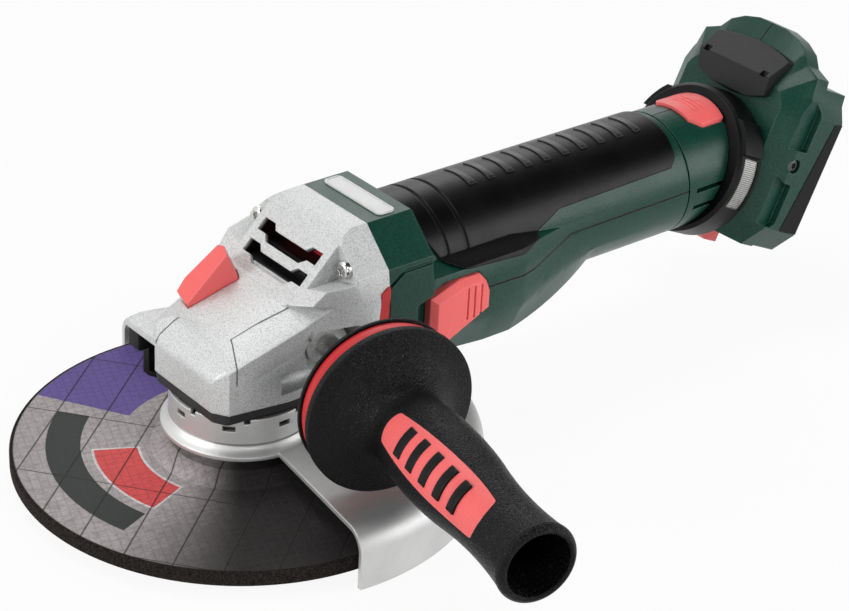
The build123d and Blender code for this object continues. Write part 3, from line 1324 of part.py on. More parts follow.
inlay_face = Plane(
    origin=handle_plane.from_local_coords((INLAY_S, 0, 0)),
    x_dir=handle_out,
    z_dir=(-0.8 * HANDLE_COS, 0.8 * HANDLE_SIN, 0.6),
)
with BuildPart() as handle_inlay:
    add(handle_body.part)
    with BuildSketch(inlay_face) as inlay_shape:
        with BuildLine():
            ThreePointArc((-INLAY_LONG, -6.2), (0, -9.2), (INLAY_LONG, -7.8))
            ThreePointArc((INLAY_LONG, -7.8), (INLAY_LONG + 1.5, 0), (INLAY_LONG, 7.8))
            ThreePointArc((INLAY_LONG, 7.8), (0, 9.2), (-INLAY_LONG, 6.2))
            ThreePointArc((-INLAY_LONG, 6.2), (-INLAY_LONG - 1.5, 0), (-INLAY_LONG, -6.2))
        make_face()
        fillet(inlay_shape.vertices(), radius=1.5)
    extrude(amount=2 * HANDLE_GRIP_R, mode=Mode.INTERSECT)
    with BuildSketch(handle_plane):
        with BuildLine():
            points = (grip_neck, grip_swell, grip_hold, grip_waist, grip_tail)
            bed = [(s, radius - INLAY_THICK) for s, radius in points]
            ThreePointArc(*bed[:3])
            ThreePointArc(*bed[2:])
            Polyline(bed[-1], (bed[-1][0], 0), (bed[0][0], 0), bed[0])
        make_face()
    revolve(axis=handle_axis, mode=Mode.SUBTRACT)

with BuildPart() as handle_grip:
    add(handle_body.part)
    add(handle_inlay.part, mode=Mode.SUBTRACT)

pieces = {
    "wheel": wheel,
    "spindle": spindle,
    "inner_flange": inner_flange,
    "clamp_nut": clamp_nut,
    "crown_gear": crown_gear,
    "spindle_bearing": spindle_bearing,
    "spindle_bush": spindle_bush,
    "gear_housing": gear_housing,
    "bearing_flange": bearing_flange,
    "flange_screws": flange_screws,
    "housing_screws": housing_screws,
    "guard_band": guard_band,
    "guard_shell": guard_shell,
    "guard_lever": guard_lever,
    "lever_pin": lever_pin,
    "lock_button": lock_button,
    "baffle": baffle,
    "pinion": pinion,
    "rotor_shaft": rotor_shaft,
    "rotor_core": rotor_core,
    "fan": fan,
    "front_bearing": front_bearing,
    "rear_bearing": rear_bearing,
    "bearing_bridge": bearing_bridge,
    "stator": stator,
    "motor_housing": motor_housing,
    "grip": grip,
    "switch_slider": switch_slider,
    "switch_link": switch_link,
    "switch_module": switch_module,
    "control_module": control_module,
    "electronics_cap": electronics_cap,
    "rear_shell_left": rear_shell_left,
    "rear_shell_right": rear_shell_right,
    "shell_screws": shell_screws,
    "rail_strips": rail_strips,
    "contact_block": contact_block,
    "latch_top": latch_top,
    "latch_bottom": latch_bottom,
    "filter_frame": filter_frame,
    "filter_mesh": filter_mesh,
    "handle_stud": handle_stud,
    "handle_disc": handle_disc,
    "handle_damper": handle_damper,
    "handle_grip": handle_grip,
    "handle_inlay": handle_inlay,
}

os.makedirs("parts", exist_ok=True)
for label, piece in pieces.items():
    piece.part.label = label
    export_step(piece.part, f"parts/{label}.step")
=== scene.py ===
import json
from math import cos, pi, radians, sin

import bmesh
import bpy
from mathutils import Matrix, Vector


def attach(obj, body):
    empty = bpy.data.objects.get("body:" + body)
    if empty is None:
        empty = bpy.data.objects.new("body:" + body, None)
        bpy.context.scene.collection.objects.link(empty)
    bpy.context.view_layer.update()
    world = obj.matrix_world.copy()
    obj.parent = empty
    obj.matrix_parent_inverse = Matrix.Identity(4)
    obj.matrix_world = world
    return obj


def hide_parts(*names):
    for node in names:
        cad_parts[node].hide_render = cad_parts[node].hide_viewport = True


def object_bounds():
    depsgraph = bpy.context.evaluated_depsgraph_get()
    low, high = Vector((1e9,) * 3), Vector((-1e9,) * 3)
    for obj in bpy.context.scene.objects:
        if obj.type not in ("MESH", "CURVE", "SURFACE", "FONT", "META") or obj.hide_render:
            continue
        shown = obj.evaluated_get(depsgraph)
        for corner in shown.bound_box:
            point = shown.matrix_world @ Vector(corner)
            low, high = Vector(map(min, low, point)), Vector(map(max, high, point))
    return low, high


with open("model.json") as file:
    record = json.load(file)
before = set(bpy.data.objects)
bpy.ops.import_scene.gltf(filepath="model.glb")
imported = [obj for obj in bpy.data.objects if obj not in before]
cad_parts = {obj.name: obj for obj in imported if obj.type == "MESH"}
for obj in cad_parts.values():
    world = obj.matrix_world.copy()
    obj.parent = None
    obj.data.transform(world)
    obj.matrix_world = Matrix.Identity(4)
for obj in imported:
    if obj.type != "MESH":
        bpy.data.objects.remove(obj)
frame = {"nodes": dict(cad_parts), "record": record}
nodes = frame["nodes"]
cad_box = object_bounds()
bpy.ops.object.select_all(action="DESELECT")

MM = 0.001
WHITE = (1, 1, 1)

# Camera, as it stood for the photograph
CAMERA_AT = Vector((-0.487394, -0.678160, 0.530549))
CAMERA_TURN = radians(-40.46)
CAMERA_RISE = radians(28.90)
CAMERA_ROLL = radians(3.04)
FOCAL_PIXELS = 2499.4
IMAGE_WIDTH = 849
SENSOR_WIDTH = 36.0

# Studio: light from all round, and the dim side of the room, up and to the right
AMBIENT = 0.24
DIM_WAY = Vector((0.35, -0.55, 0.75)).normalized()
ROOM_DIM = 0.03
ROOM_EDGE = (0.3, 0.75)

# Floor: its size, its middle, the gap below the object, its grey, and the share of white that is seen
FLOOR_SIZE = 12
FLOOR_MIDDLE = 0.1
FLOOR_GAP = 0.2 * MM
FLOOR_GREY = (0.86, 0.86, 0.86)
FLOOR_GLOW = 0.92

# Lamps: the place, the aim, the size and the power of each
LAMPS = {
    "overhead": ((-0.1, 0.30, 1.35), (0.08, 0, 0.05), 0.6, 6.5),
    "left_box": ((-1.30, 0.25, 0.55), (0.0, 0, 0.05), 0.55, 10),
    "right_box": ((1.20, -1.10, 0.48), (0.1, 0, 0.06), 0.85, 13),
    "front_box": ((-0.45, -1.50, 0.22), (0.1, 0, 0.06), 0.6, 6),
    "front_top": ((0.18, -1.15, 1.05), (0.05, -0.05, 0.06), 0.35, 4),
    "rear_rim": ((0.9, 1.1, 0.9), (0.1, 0, 0.05), 0.7, 3.6),
}

# Smooth shading: the angles below which faces of a part or a piece blend, and which points are joined
PART_SMOOTH = radians(28)
PIECE_SMOOTH = radians(35)
JOIN_WITHIN = 0.002 * MM

# Places on the object, in metres
MOTOR_HEIGHT = 66.2 * MM
GRIP_RADIUS = 27.9 * MM
COLLAR_TOP = 98.5 * MM
LATCH_RADIUS = 28.1 * MM
FOOT_TILT = radians(25)
RING_CENTRE = Vector((231.65 * MM, 0, 68.9 * MM))
RING_RADIUS = 32.7 * MM
MESH_PITCH = 0.9 * MM
HANDLE_AT = Vector((10 * MM, -80 * MM, 56 * MM))
HANDLE_LEAN = radians(11)
HANDLE_OUT = Vector((-sin(HANDLE_LEAN), -cos(HANDLE_LEAN), 0))
INLAY_FACING = Vector((-0.8 * cos(HANDLE_LEAN), 0.8 * sin(HANDLE_LEAN), 0.6))

# Green plastic, as the arguments of its finish
GREEN_LOOK = {
    "colour": (0.006, 0.050, 0.033),
    "roughness": 0.31,
    "edge_highlight_colour": (0.09, 0.19, 0.15),
    "gleam": 0.24,
    "depth": 0.09,
    "pits": 0.6,
}

# Parting line of the motor housing, seen from the side, in millimetres
PARTING_WIDE = 0.8
PARTING_LINE = [
    ((92, 62.5), (120, 62)),
    ((120, 62), (144, 67.5)),
    ((144, 67.5), (212.2, 68.2)),
]

# Seam of the rear shells: where its dark middle ends and where it is gone, and its depth in grains
SEAM_EDGE = (0.26 * MM, 0.4 * MM)
SEAM_DEPTH = 8.0

# Dark of the parting line and the seam
GROOVE_DARK = (0.001, 0.003, 0.002)

# Scribed lines on the nose of the casting, as places seen from above, and the height they start at
NOSE_LINES = [
    ((6.6, -20.0), (-15.6, -14.5)),
    ((-15.6, -14.5), (-23.2, -32.0)),
    ((-19.9, 13.6), (-25.7, 17.8)),
    ((-25.7, 17.8), (-27.4, 18.2)),
]
NOSE_LINE_WIDE = 0.4
NOSE_LINE_FROM = (50 * MM, 51 * MM)
NOSE_LINE_DARK = (0.07, 0.07, 0.07)

# Painted shade in the room behind the vents of the hump: where it darkens down the slope, its limits in
# millimetres, and its colour
VENT_SLOPE = (66.2 * MM, 63.4 * MM)
VENT_LENGTH = (13.5, 34.6)
VENT_HALF_WIDTH = 20.4
VENT_HEIGHT = (76.9, 95.4)
VENT_SOFT = 0.05
VENT_PAINTED_SHADE = (0.004, 0.004, 0.004)

# Zinc-plated sheet: clear, cloudy, and along its rolling lines
ZINC_CLEAR = (0.63, 0.63, 0.62)
ZINC_CLOUDY = (0.55, 0.55, 0.55)
ZINC_LINES = (0.46, 0.46, 0.47)

# Filter cloth: the dark between its wires, and the wires
MESH_DARK = (0.006, 0.006, 0.006)
MESH_WIRE = (0.62, 0.62, 0.60)

# Disc: where the paper ends, its top, and the angles between which a painted shadow darkens the print
DISC_PRINT = 88.4 * MM
DISC_TOP = 6 * MM
DISC_SHADOW_ANGLES = (radians(14), radians(56))

# Threads of the disc: the fine net, the long threads and those across them, with their widths
DISC_NET = 3.4 * MM
DISC_NET_TURN = 0.35
DISC_LONG = 19 * MM
DISC_LONG_TURN = 0.9
DISC_CROSS = 2.3 * DISC_LONG
DISC_THREAD_WIDE = 0.5 * MM
DISC_CROSS_WIDE = 0.4 * MM

# Colours of the disc, from dark to pale where there are two
DISC_BOND = ((0.003, 0.0024, 0.0022), (0.035, 0.028, 0.025))
DISC_INK = ((0.37, 0.335, 0.338), (0.48, 0.44, 0.443))
DISC_OUTLINE = (0.72, 0.70, 0.70)
DISC_SHADOW_COLOUR = (0.006, 0.0055, 0.005)
DISC_FIBRE = (0.05, 0.045, 0.045)
DISC_THREAD = (0.02, 0.018, 0.018)
DISC_GRIT = (0.04, 0.034, 0.034)

# Fields of the disc: colour, inner and outer radius, first and last angle; and which one is outlined
DISC_FIELDS = [
    ((0.045, 0.050, 0.047), 62.5, 76.0, -52, 20),
    ((0.70, 0.095, 0.095), 40.5, 57.5, -28, 20),
    ((0.15, 0.11, 0.34), 48.0, 88.4, -96, -58),
]
DISC_OUTLINED = 1

# Sides of a screw's head, and how many of them make one lobe of its socket
SCREW_SIDES = 24
LOBE_SIDES = 4

# Screws in millimetres: the seats of their heads, then head radius and height, shank radius and length
HOUSING_SEATS = [(28, 27.5, 86.5), (28, -27.5, 86.5), (28, 26.5, 45.5), (28, -26.5, 45.5)]
HOUSING_SCREW = (3.6, 2.6, 2.0, 29)
FLANGE_SEATS = [(-19.5, 19.5, 35.8), (-19.5, -19.5, 35.8), (27, 21, 35.8), (27, -21, 35.8)]
FLANGE_SCREW = (3.0, 2.4, 1.9, 12.6)
FOOT_SCREW = (2.88, 1.7, 1.6, 64)

# Seats of the foot screws: along the foot's axis, up its face and the side, then the distance out
FOOT_SEATS = [(26.4, 15, -1), (29, -16, 1)]
FOOT_SEAT_OUT = 36.9

# Plate on the collar: its middle and size, its corners, and the width, depth and rounding of its rim
BADGE_AT = (54.6 * MM, 0, COLLAR_TOP + 0.35 * MM)
BADGE_SIZE = (8.4 * MM, 36 * MM, 0.9 * MM)
BADGE_CORNER = 2.2 * MM
BADGE_RIM = 0.9 * MM
BADGE_SUNK = 0.3 * MM
BADGE_ROUND = 0.2 * MM

# Raised ribs: how far they reach into what they stand on, and their width, rise, sweep and places
RIB_ROOT = 0.5 * MM
GRIP_RIB = (3.4 * MM, 0.55 * MM, radians(34))
GRIP_RIB_PLACES = range(106, 198, 10)
LATCH_RIB = (1.1 * MM, 0.4 * MM, radians(30))
LATCH_RIB_PLACES = (231.2, 233.6, 236.0)
HANDLE_RIB_WIDTH = 4.2 * MM
HANDLE_RIB_RISE = 0.5 * MM

# Ribs on the side handle's inlay: the place along the handle, the radius and the sweep in degrees
HANDLE_RIBS = [
    (34, 16.9, 40),
    (43, 16.75, 44),
    (52, 16.3, 46),
    (61, 15.6, 48),
    (70, 14.85, 48),
]


def make_camera():
    """The camera looks along the photograph's own line of sight, with its small roll."""
    turn, rise = CAMERA_TURN, CAMERA_RISE
    back = Vector((sin(turn) * cos(rise), -cos(turn) * cos(rise), sin(rise)))
    right = Vector((cos(turn), sin(turn), 0))
    up = back.cross(right)
    across = cos(CAMERA_ROLL) * right + sin(CAMERA_ROLL) * up
    upright = cos(CAMERA_ROLL) * up - sin(CAMERA_ROLL) * right
    lens = bpy.data.cameras.new("photo_camera")
    lens.sensor_width = SENSOR_WIDTH
    lens.lens = FOCAL_PIXELS * SENSOR_WIDTH / IMAGE_WIDTH
    lens.clip_start = 0.05
    lens.clip_end = 20
    camera = bpy.data.objects.new("photo_camera", lens)
    bpy.context.scene.collection.objects.link(camera)
    turned = Matrix((across, upright, back)).transposed().to_4x4()
    camera.matrix_world = Matrix.Translation(CAMERA_AT) @ turned
    bpy.context.scene.camera = camera


def make_area_light(name, place, aim, size, power):
    """A square soft box that points from its place at its aim."""
    light = bpy.data.lights.new(name, "AREA")
    light.size = size
    light.energy = power
    lamp = bpy.data.objects.new(name, light)
    bpy.context.scene.collection.objects.link(lamp)
    lamp.location = place
    lamp.rotation_mode = "QUATERNION"
    lamp.rotation_quaternion = (Vector(aim) - Vector(place)).to_track_quat("-Z", "Y")


class Shades:
    """Short ways to add and join shader nodes in one tree."""

    def __init__(self, tree):
        self.tree = tree

    def add(self, kind, **settings):
        """A new node with its settings."""
        node = self.tree.nodes.new(kind)
        for name, value in settings.items():
            setattr(node, name, value)
        return node

    def feed(self, value, socket):
        """Join another node's output, or set a plain number, vector or colour."""
        if isinstance(value, bpy.types.NodeSocket):
            self.tree.links.new(value, socket)
        else:
            socket.default_value = value

    def math(self, operation, first, second=0.0):
        """One step of arithmetic."""
        node = self.add("ShaderNodeMath", operation=operation)
        self.feed(first, node.inputs[0])
        self.feed(second, node.inputs[1])
        return node.outputs[0]

    def mix(self, factor, first, second):
        """Blend two colours; colours are written as red, green, blue."""
        node = self.add("ShaderNodeMix", data_type="RGBA")
        self.feed(factor, node.inputs[0])
        self.feed(paint(first), node.inputs[6])
        self.feed(paint(second), node.inputs[7])
        return node.outputs[2]

    def ramp(self, value, low, high, start=0.0, stop=1.0):
        """A smooth change from start at low to stop at high."""
        node = self.add("ShaderNodeMapRange", interpolation_type="SMOOTHSTEP")
        self.feed(value, node.inputs["Value"])
        self.feed(low, node.inputs["From Min"])
        self.feed(high, node.inputs["From Max"])
        self.feed(start, node.inputs["To Min"])
        self.feed(stop, node.inputs["To Max"])
        return node.outputs["Result"]

    def noise(self, place, scale, detail, roughness=0.55):
        """Cloudy noise, finer with a larger scale."""
        node = self.add("ShaderNodeTexNoise")
        self.feed(place, node.inputs["Vector"])
        self.feed(scale, node.inputs["Scale"])
        node.inputs["Detail"].default_value = detail
        node.inputs["Roughness"].default_value = roughness
        return node.outputs["Fac"]

    def cells(self, place, scale):
        """How far a place is from the edge of its cell."""
        node = self.add("ShaderNodeTexVoronoi", feature="DISTANCE_TO_EDGE")
        self.feed(place, node.inputs["Vector"])
        self.feed(scale, node.inputs["Scale"])
        return node.outputs["Distance"]

    def place(self, turn=(0, 0, 0), scale=(1, 1, 1)):
        """Object coordinates, turned or stretched."""
        seat = self.add("ShaderNodeTexCoord").outputs["Object"]
        if (turn, scale) == ((0, 0, 0), (1, 1, 1)):
            return seat
        node = self.add("ShaderNodeMapping")
        self.feed(seat, node.inputs["Vector"])
        node.inputs["Rotation"].default_value = turn
        node.inputs["Scale"].default_value = scale
        return node.outputs["Vector"]

    def parts(self, vector):
        """The X, Y and Z of a vector."""
        node = self.add("ShaderNodeSeparateXYZ")
        self.feed(vector, node.inputs[0])
        return node.outputs

    def bump(self, height, depth, normal=None):
        """A bump as deep as depth, in metres."""
        node = self.add("ShaderNodeBump")
        node.inputs["Strength"].default_value = 1
        node.inputs["Distance"].default_value = depth
        self.feed(height, node.inputs["Height"])
        if normal is not None:
            self.feed(normal, node.inputs["Normal"])
        return node.outputs["Normal"]

    def group(self, name, **values):
        """One of the shader groups made below, with its inputs set."""
        node = self.add("ShaderNodeGroup", node_tree=bpy.data.node_groups[name])
        for socket, value in values.items():
            self.feed(value, node.inputs[socket])
        return node.outputs


def paint(colour):
    """A written colour gets its fourth number; a socket is passed on."""
    if isinstance(colour, tuple) and len(colour) == 3:
        return (*colour, 1)
    return colour


def seen_directly(shades):
    """A mask that is 1 for what the camera sees, directly or by way of a reflection."""
    path = shades.add("ShaderNodeLightPath").outputs
    mirrored = shades.math("MAXIMUM", path["Is Glossy Ray"], path["Is Transmission Ray"])
    return shades.math("MAXIMUM", path["Is Camera Ray"], mirrored)


def make_world():
    """A pale studio with one dim side; the background itself is white."""
    world = bpy.data.worlds.new("studio")
    bpy.context.scene.world = world
    world.use_nodes = True
    tree = world.node_tree
    tree.nodes.clear()
    shades = Shades(tree)
    way = shades.add("ShaderNodeVectorMath", operation="DOT_PRODUCT")
    shades.feed(shades.add("ShaderNodeTexCoord").outputs["Generated"], way.inputs[0])
    way.inputs[1].default_value = DIM_WAY
    room = shades.ramp(way.outputs["Value"], *ROOM_EDGE, 1.0, ROOM_DIM)
    path = shades.add("ShaderNodeLightPath").outputs
    mirrored = shades.math("MAXIMUM", path["Is Glossy Ray"], path["Is Transmission Ray"])
    strength = shades.ramp(mirrored, 0.0, 1.0, AMBIENT, 1.0)
    strength = shades.math("MULTIPLY", strength, room)
    strength = shades.math("MAXIMUM", strength, path["Is Camera Ray"])
    light = shades.add("ShaderNodeBackground")
    shades.feed(paint(WHITE), light.inputs["Color"])
    shades.feed(strength, light.inputs["Strength"])
    out = shades.add("ShaderNodeOutputWorld")
    shades.feed(light.outputs[0], out.inputs["Surface"])


def make_floor():
    """A wide pale floor that keeps the object's shadow and fades to white."""
    place = (FLOOR_MIDDLE, 0, cad_box[0].z - FLOOR_GAP)
    bpy.ops.mesh.primitive_plane_add(size=FLOOR_SIZE, location=place)
    floor = bpy.context.object
    floor.name = "floor"
    bpy.ops.object.transform_apply(location=True, rotation=True, scale=True)
    material = bpy.data.materials.new("pale_floor")
    material.use_nodes = True
    material.node_tree.nodes.clear()
    shades = Shades(material.node_tree)
    lit = shades.add("ShaderNodeBsdfDiffuse")
    shades.feed(paint(FLOOR_GREY), lit.inputs["Color"])
    glow = shades.add("ShaderNodeEmission")
    shades.feed(paint(WHITE), glow.inputs["Color"])
    share = shades.math("MULTIPLY", seen_directly(shades), FLOOR_GLOW)
    mix = shades.add("ShaderNodeMixShader")
    shades.feed(share, mix.inputs["Fac"])
    shades.feed(lit.outputs[0], mix.inputs[1])
    shades.feed(glow.outputs[0], mix.inputs[2])
    out = shades.add("ShaderNodeOutputMaterial")
    shades.feed(mix.outputs[0], out.inputs["Surface"])
    floor.data.materials.append(material)


def start_group(name, inputs, outputs):
    """A new shader group with its named sockets; gives its tree, its inputs and its outputs."""
    tree = bpy.data.node_groups.new(name, "ShaderNodeTree")
    for label, kind, value in inputs:
        socket = tree.interface.new_socket(label, in_out="INPUT", socket_type=kind)
        socket.default_value = value
    for label, kind in outputs:
        tree.interface.new_socket(label, in_out="OUTPUT", socket_type=kind)
    shades = Shades(tree)
    return shades, shades.add("NodeGroupInput").outputs, shades.add("NodeGroupOutput").inputs


def make_rounded_edges():
    """Breaks sharp edges: a rounded normal, and a mask of where the rounding lies."""
    shades, given, result = start_group(
        "rounded_edges",
        [("Radius", "NodeSocketFloat", 0.0005)],
        [("Normal", "NodeSocketVector"), ("Edge", "NodeSocketFloat")],
    )
    rounded = shades.add("ShaderNodeBevel", samples=6)
    shades.feed(given["Radius"], rounded.inputs["Radius"])
    surface = shades.add("ShaderNodeNewGeometry")
    alike = shades.add("ShaderNodeVectorMath", operation="DOT_PRODUCT")
    shades.feed(rounded.outputs["Normal"], alike.inputs[0])
    shades.feed(surface.outputs["Normal"], alike.inputs[1])
    shades.feed(rounded.outputs["Normal"], result["Normal"])
    shades.feed(shades.ramp(alike.outputs["Value"], 0.995, 0.86), result["Edge"])


def make_sand_speckle():
    """The blasted skin of a casting: dark specks between bright grains."""
    shades, given, result = start_group(
        "sand_speckle",
        [("Grains", "NodeSocketFloat", 1600.0)],
        [("Speck", "NodeSocketFloat"), ("Height", "NodeSocketFloat")],
    )
    place = shades.place()
    fine = shades.noise(place, given["Grains"], 3.0, 0.8)
    coarse = shades.noise(place, shades.math("MULTIPLY", given["Grains"], 0.35), 2.0)
    height = shades.math("ADD", fine, shades.math("MULTIPLY", coarse, 0.6))
    shades.feed(shades.ramp(fine, 0.53, 0.36), result["Speck"])
    shades.feed(height, result["Height"])


def make_moulded_grain():
    """The spark-eroded texture of a plastic mould, with slow changes of gloss."""
    shades, given, result = start_group(
        "moulded_grain",
        [("Grains", "NodeSocketFloat", 1500.0)],
        [("Height", "NodeSocketFloat"), ("Gloss", "NodeSocketFloat"), ("Tone", "NodeSocketFloat")],
    )
    place = shades.place()
    fine = shades.noise(place, given["Grains"], 2.0, 0.6)
    shades.feed(fine, result["Height"])
    shades.feed(shades.noise(place, 55.0, 4.0, 0.6), result["Gloss"])
    grains = shades.math("MULTIPLY", given["Grains"], 0.8)
    shades.feed(shades.noise(place, grains, 2.0, 0.7), result["Tone"])


def make_leather_grain():
    """Small raised pebbles with creases between them, as on a soft hand grip."""
    shades, given, result = start_group(
        "leather_grain",
        [("Pebbles", "NodeSocketFloat", 900.0)],
        [("Height", "NodeSocketFloat"), ("Crease", "NodeSocketFloat")],
    )
    place = shades.place()
    drift = shades.add("ShaderNodeVectorMath", operation="SCALE")
    wander = shades.add("ShaderNodeTexNoise")
    shades.feed(place, wander.inputs["Vector"])
    wander.inputs["Scale"].default_value = 500
    shades.feed(wander.outputs["Color"], drift.inputs[0])
    drift.inputs["Scale"].default_value = 0.0012
    moved = shades.add("ShaderNodeVectorMath", operation="ADD")
    shades.feed(place, moved.inputs[0])
    shades.feed(drift.outputs[0], moved.inputs[1])
    crease = shades.cells(moved.outputs[0], given["Pebbles"])
    shades.feed(shades.ramp(crease, 0.0, 0.35), result["Height"])
    shades.feed(shades.ramp(crease, 0.12, 0.0), result["Crease"])


def make_handling_marks():
    """Faint smudges and hairline scratches that change the gloss of metal."""
    shades, given, result = start_group(
        "handling_marks",
        [("Size", "NodeSocketFloat", 40.0)],
        [("Smudge", "NodeSocketFloat"), ("Scratch", "NodeSocketFloat")],
    )
    place = shades.place()
    smudge = shades.noise(place, given["Size"], 5.0, 0.62)
    along = shades.noise(shades.place(scale=(40, 900, 900), turn=(0, 0, 0.4)), 1.0, 2.0)
    shades.feed(shades.ramp(smudge, 0.35, 0.7), result["Smudge"])
    shades.feed(shades.ramp(along, 0.64, 0.72), result["Scratch"])


def start_material(name):
    """A new material with an empty tree; gives the material, its shades and its shader's inputs."""
    material = bpy.data.materials.new(name)
    material.use_nodes = True
    tree = material.node_tree
    tree.nodes.clear()
    shades = Shades(tree)
    shader = shades.add("ShaderNodeBsdfPrincipled")
    out = shades.add("ShaderNodeOutputMaterial")
    shades.feed(shader.outputs[0], out.inputs["Surface"])
    return material, shades, shader.inputs


def moulded_plastic(
    name, colour, roughness, edge_highlight_colour, gleam=0.5, depth=0.05, edge=0.6, pits=0.78, lines=(), seam=False
):
    """Moulded plastic: a textured skin, a little uneven in gloss, with a painted highlight along its
    rounded edges.
    The grain's depth and the edge are in millimetres, and pits is how much darker its hollows are.
    Lines are dark grooves seen from the side, and a seam is where the two halves of a shell meet."""
    material, shades, shader = start_material(name)
    skin = shades.group("moulded_grain", Grains=1500.0)
    rim = shades.group("rounded_edges", Radius=edge * MM)
    deep = tuple(pits * part for part in colour)
    tone = shades.mix(shades.ramp(skin["Tone"], 0.32, 0.62), deep, colour)
    # Painted highlight along the rounded edges
    painted_edge_highlight = shades.math("MULTIPLY", rim["Edge"], 0.55)
    tone = shades.mix(painted_edge_highlight, tone, edge_highlight_colour)
    height = skin["Height"]
    if lines:
        groove = scribed_lines(shades, lines, PARTING_WIDE, (0, 2))
        tone = shades.mix(groove, tone, GROOVE_DARK)
    if seam:
        sideways = shades.math("ABSOLUTE", shades.parts(shades.place())["Y"])
        line = shades.ramp(sideways, *SEAM_EDGE, 1.0, 0.0)
        tone = shades.mix(line, tone, GROOVE_DARK)
        height = shades.math("SUBTRACT", height, shades.math("MULTIPLY", line, SEAM_DEPTH))
    shades.feed(tone, shader["Base Color"])
    gloss = shades.ramp(skin["Gloss"], 0.3, 0.7, roughness - 0.03, roughness + 0.04)
    shades.feed(gloss, shader["Roughness"])
    shader["Specular IOR Level"].default_value = gleam
    shades.feed(shades.bump(height, depth * MM, rim["Normal"]), shader["Normal"])
    return material


def plain_metal(name, colour, roughness):
    """Turned or ground metal with faint handling marks."""
    material, shades, shader = start_material(name)
    rim = shades.group("rounded_edges", Radius=0.4 * MM)
    wear = shades.group("handling_marks", Size=40.0)
    dull = tuple(0.8 * part for part in colour)
    shades.feed(shades.mix(wear["Smudge"], colour, dull), shader["Base Color"])
    shader["Metallic"].default_value = 1
    rough = shades.ramp(wear["Smudge"], 0.0, 1.0, roughness, roughness + 0.12)
    scratched = shades.math("MULTIPLY", wear["Scratch"], 0.1)
    shades.feed(shades.math("ADD", rough, scratched), shader["Roughness"])
    shades.feed(rim["Normal"], shader["Normal"])
    return material


def scribed_lines(shades, lines, width, axes=(0, 1)):
    """A mask of thin lines between pairs of points on two axes, in millimetres."""

    def on_axes(first, second):
        """A vector with two numbers on the chosen axes."""
        point = Vector((0, 0, 0))
        point[axes[0]], point[axes[1]] = first, second
        return point

    place = shades.add("ShaderNodeVectorMath", operation="MULTIPLY")
    shades.feed(shades.place(), place.inputs[0])
    place.inputs[1].default_value = on_axes(1 / MM, 1 / MM)
    mask = 0.0
    for first, last in lines:
        start = on_axes(*first)
        run = on_axes(*last) - start
        away = shades.add("ShaderNodeVectorMath", operation="SUBTRACT")
        shades.feed(place.outputs[0], away.inputs[0])
        away.inputs[1].default_value = start
        along = shades.add("ShaderNodeVectorMath", operation="DOT_PRODUCT")
        shades.feed(away.outputs[0], along.inputs[0])
        along.inputs[1].default_value = run / run.length_squared
        held = shades.math("MINIMUM", shades.math("MAXIMUM", along.outputs["Value"], 0.0), 1.0)
        nearest = shades.add("ShaderNodeVectorMath", operation="SCALE")
        nearest.inputs[0].default_value = run
        shades.feed(held, nearest.inputs["Scale"])
        gap = shades.add("ShaderNodeVectorMath", operation="DISTANCE")
        shades.feed(away.outputs[0], gap.inputs[0])
        shades.feed(nearest.outputs[0], gap.inputs[1])
        line = shades.ramp(gap.outputs["Value"], width * 0.5, width * 0.8, 1.0, 0.0)
        mask = shades.math("MAXIMUM", mask, line)
    return mask


def hollow_shade(shades):
    """A mask of painted shade that grows into the vents of the hump and covers the room behind them."""
    x, y, z = shades.parts(shades.place())
    inside = shades.ramp(shades.math("SUBTRACT", z, x), *VENT_SLOPE)
    limits = (
        (x, VENT_LENGTH[0], VENT_SOFT),
        (x, VENT_LENGTH[1], -VENT_SOFT),
        (shades.math("ABSOLUTE", y), VENT_HALF_WIDTH, -VENT_SOFT),
        (z, VENT_HEIGHT[0], VENT_SOFT),
        (z, VENT_HEIGHT[1], -VENT_SOFT),
    )
    for value, edge, soft in limits:
        kept = shades.ramp(value, (edge - soft) * MM, (edge + soft) * MM)
        inside = shades.math("MULTIPLY", inside, kept)
    return inside


def cast_silver(name, bright, dark, roughness, lines=()):
    """Sand-blasted casting with dark specks, brighter at the edges, where they are rubbed and where a
    highlight is painted.
    With lines, it is the gear housing: the lines are scribed and painted shade darkens the vents inside."""
    material, shades, shader = start_material(name)
    skin = shades.group("sand_speckle", Grains=1900.0)
    rim = shades.group("rounded_edges", Radius=0.9 * MM)
    cloud = shades.noise(shades.place(), 30.0, 3.0)
    speck = shades.math("MULTIPLY", skin["Speck"], 0.6)
    tone = shades.mix(speck, bright, dark)
    tone = shades.mix(shades.ramp(cloud, 0.35, 0.75, 0.0, 0.08), tone, dark)
    # Paler edges: rubbing, and a painted highlight
    rubbed_and_highlit = shades.math("MULTIPLY", rim["Edge"], 0.3)
    paler = tuple(min(1.0, 1.2 * part) for part in bright)
    tone = shades.mix(rubbed_and_highlit, tone, paler)
    height = skin["Height"]
    if lines:
        cut = scribed_lines(shades, lines, NOSE_LINE_WIDE)
        upward = shades.parts(shades.place())["Z"]
        cut = shades.math("MULTIPLY", cut, shades.ramp(upward, *NOSE_LINE_FROM))
        tone = shades.mix(shades.math("MULTIPLY", cut, 0.85), tone, NOSE_LINE_DARK)
        # Painted shade darkens the room behind the vents of the hump
        tone = shades.mix(hollow_shade(shades), tone, VENT_PAINTED_SHADE)
        height = shades.math("SUBTRACT", height, shades.math("MULTIPLY", cut, 3.0))
    shades.feed(tone, shader["Base Color"])
    shader["Metallic"].default_value = 0.35
    gloss = shades.ramp(skin["Height"], 0.4, 1.1, roughness + 0.08, roughness - 0.05)
    shades.feed(gloss, shader["Roughness"])
    shades.feed(shades.bump(height, 0.1 * MM, rim["Normal"]), shader["Normal"])
    return material


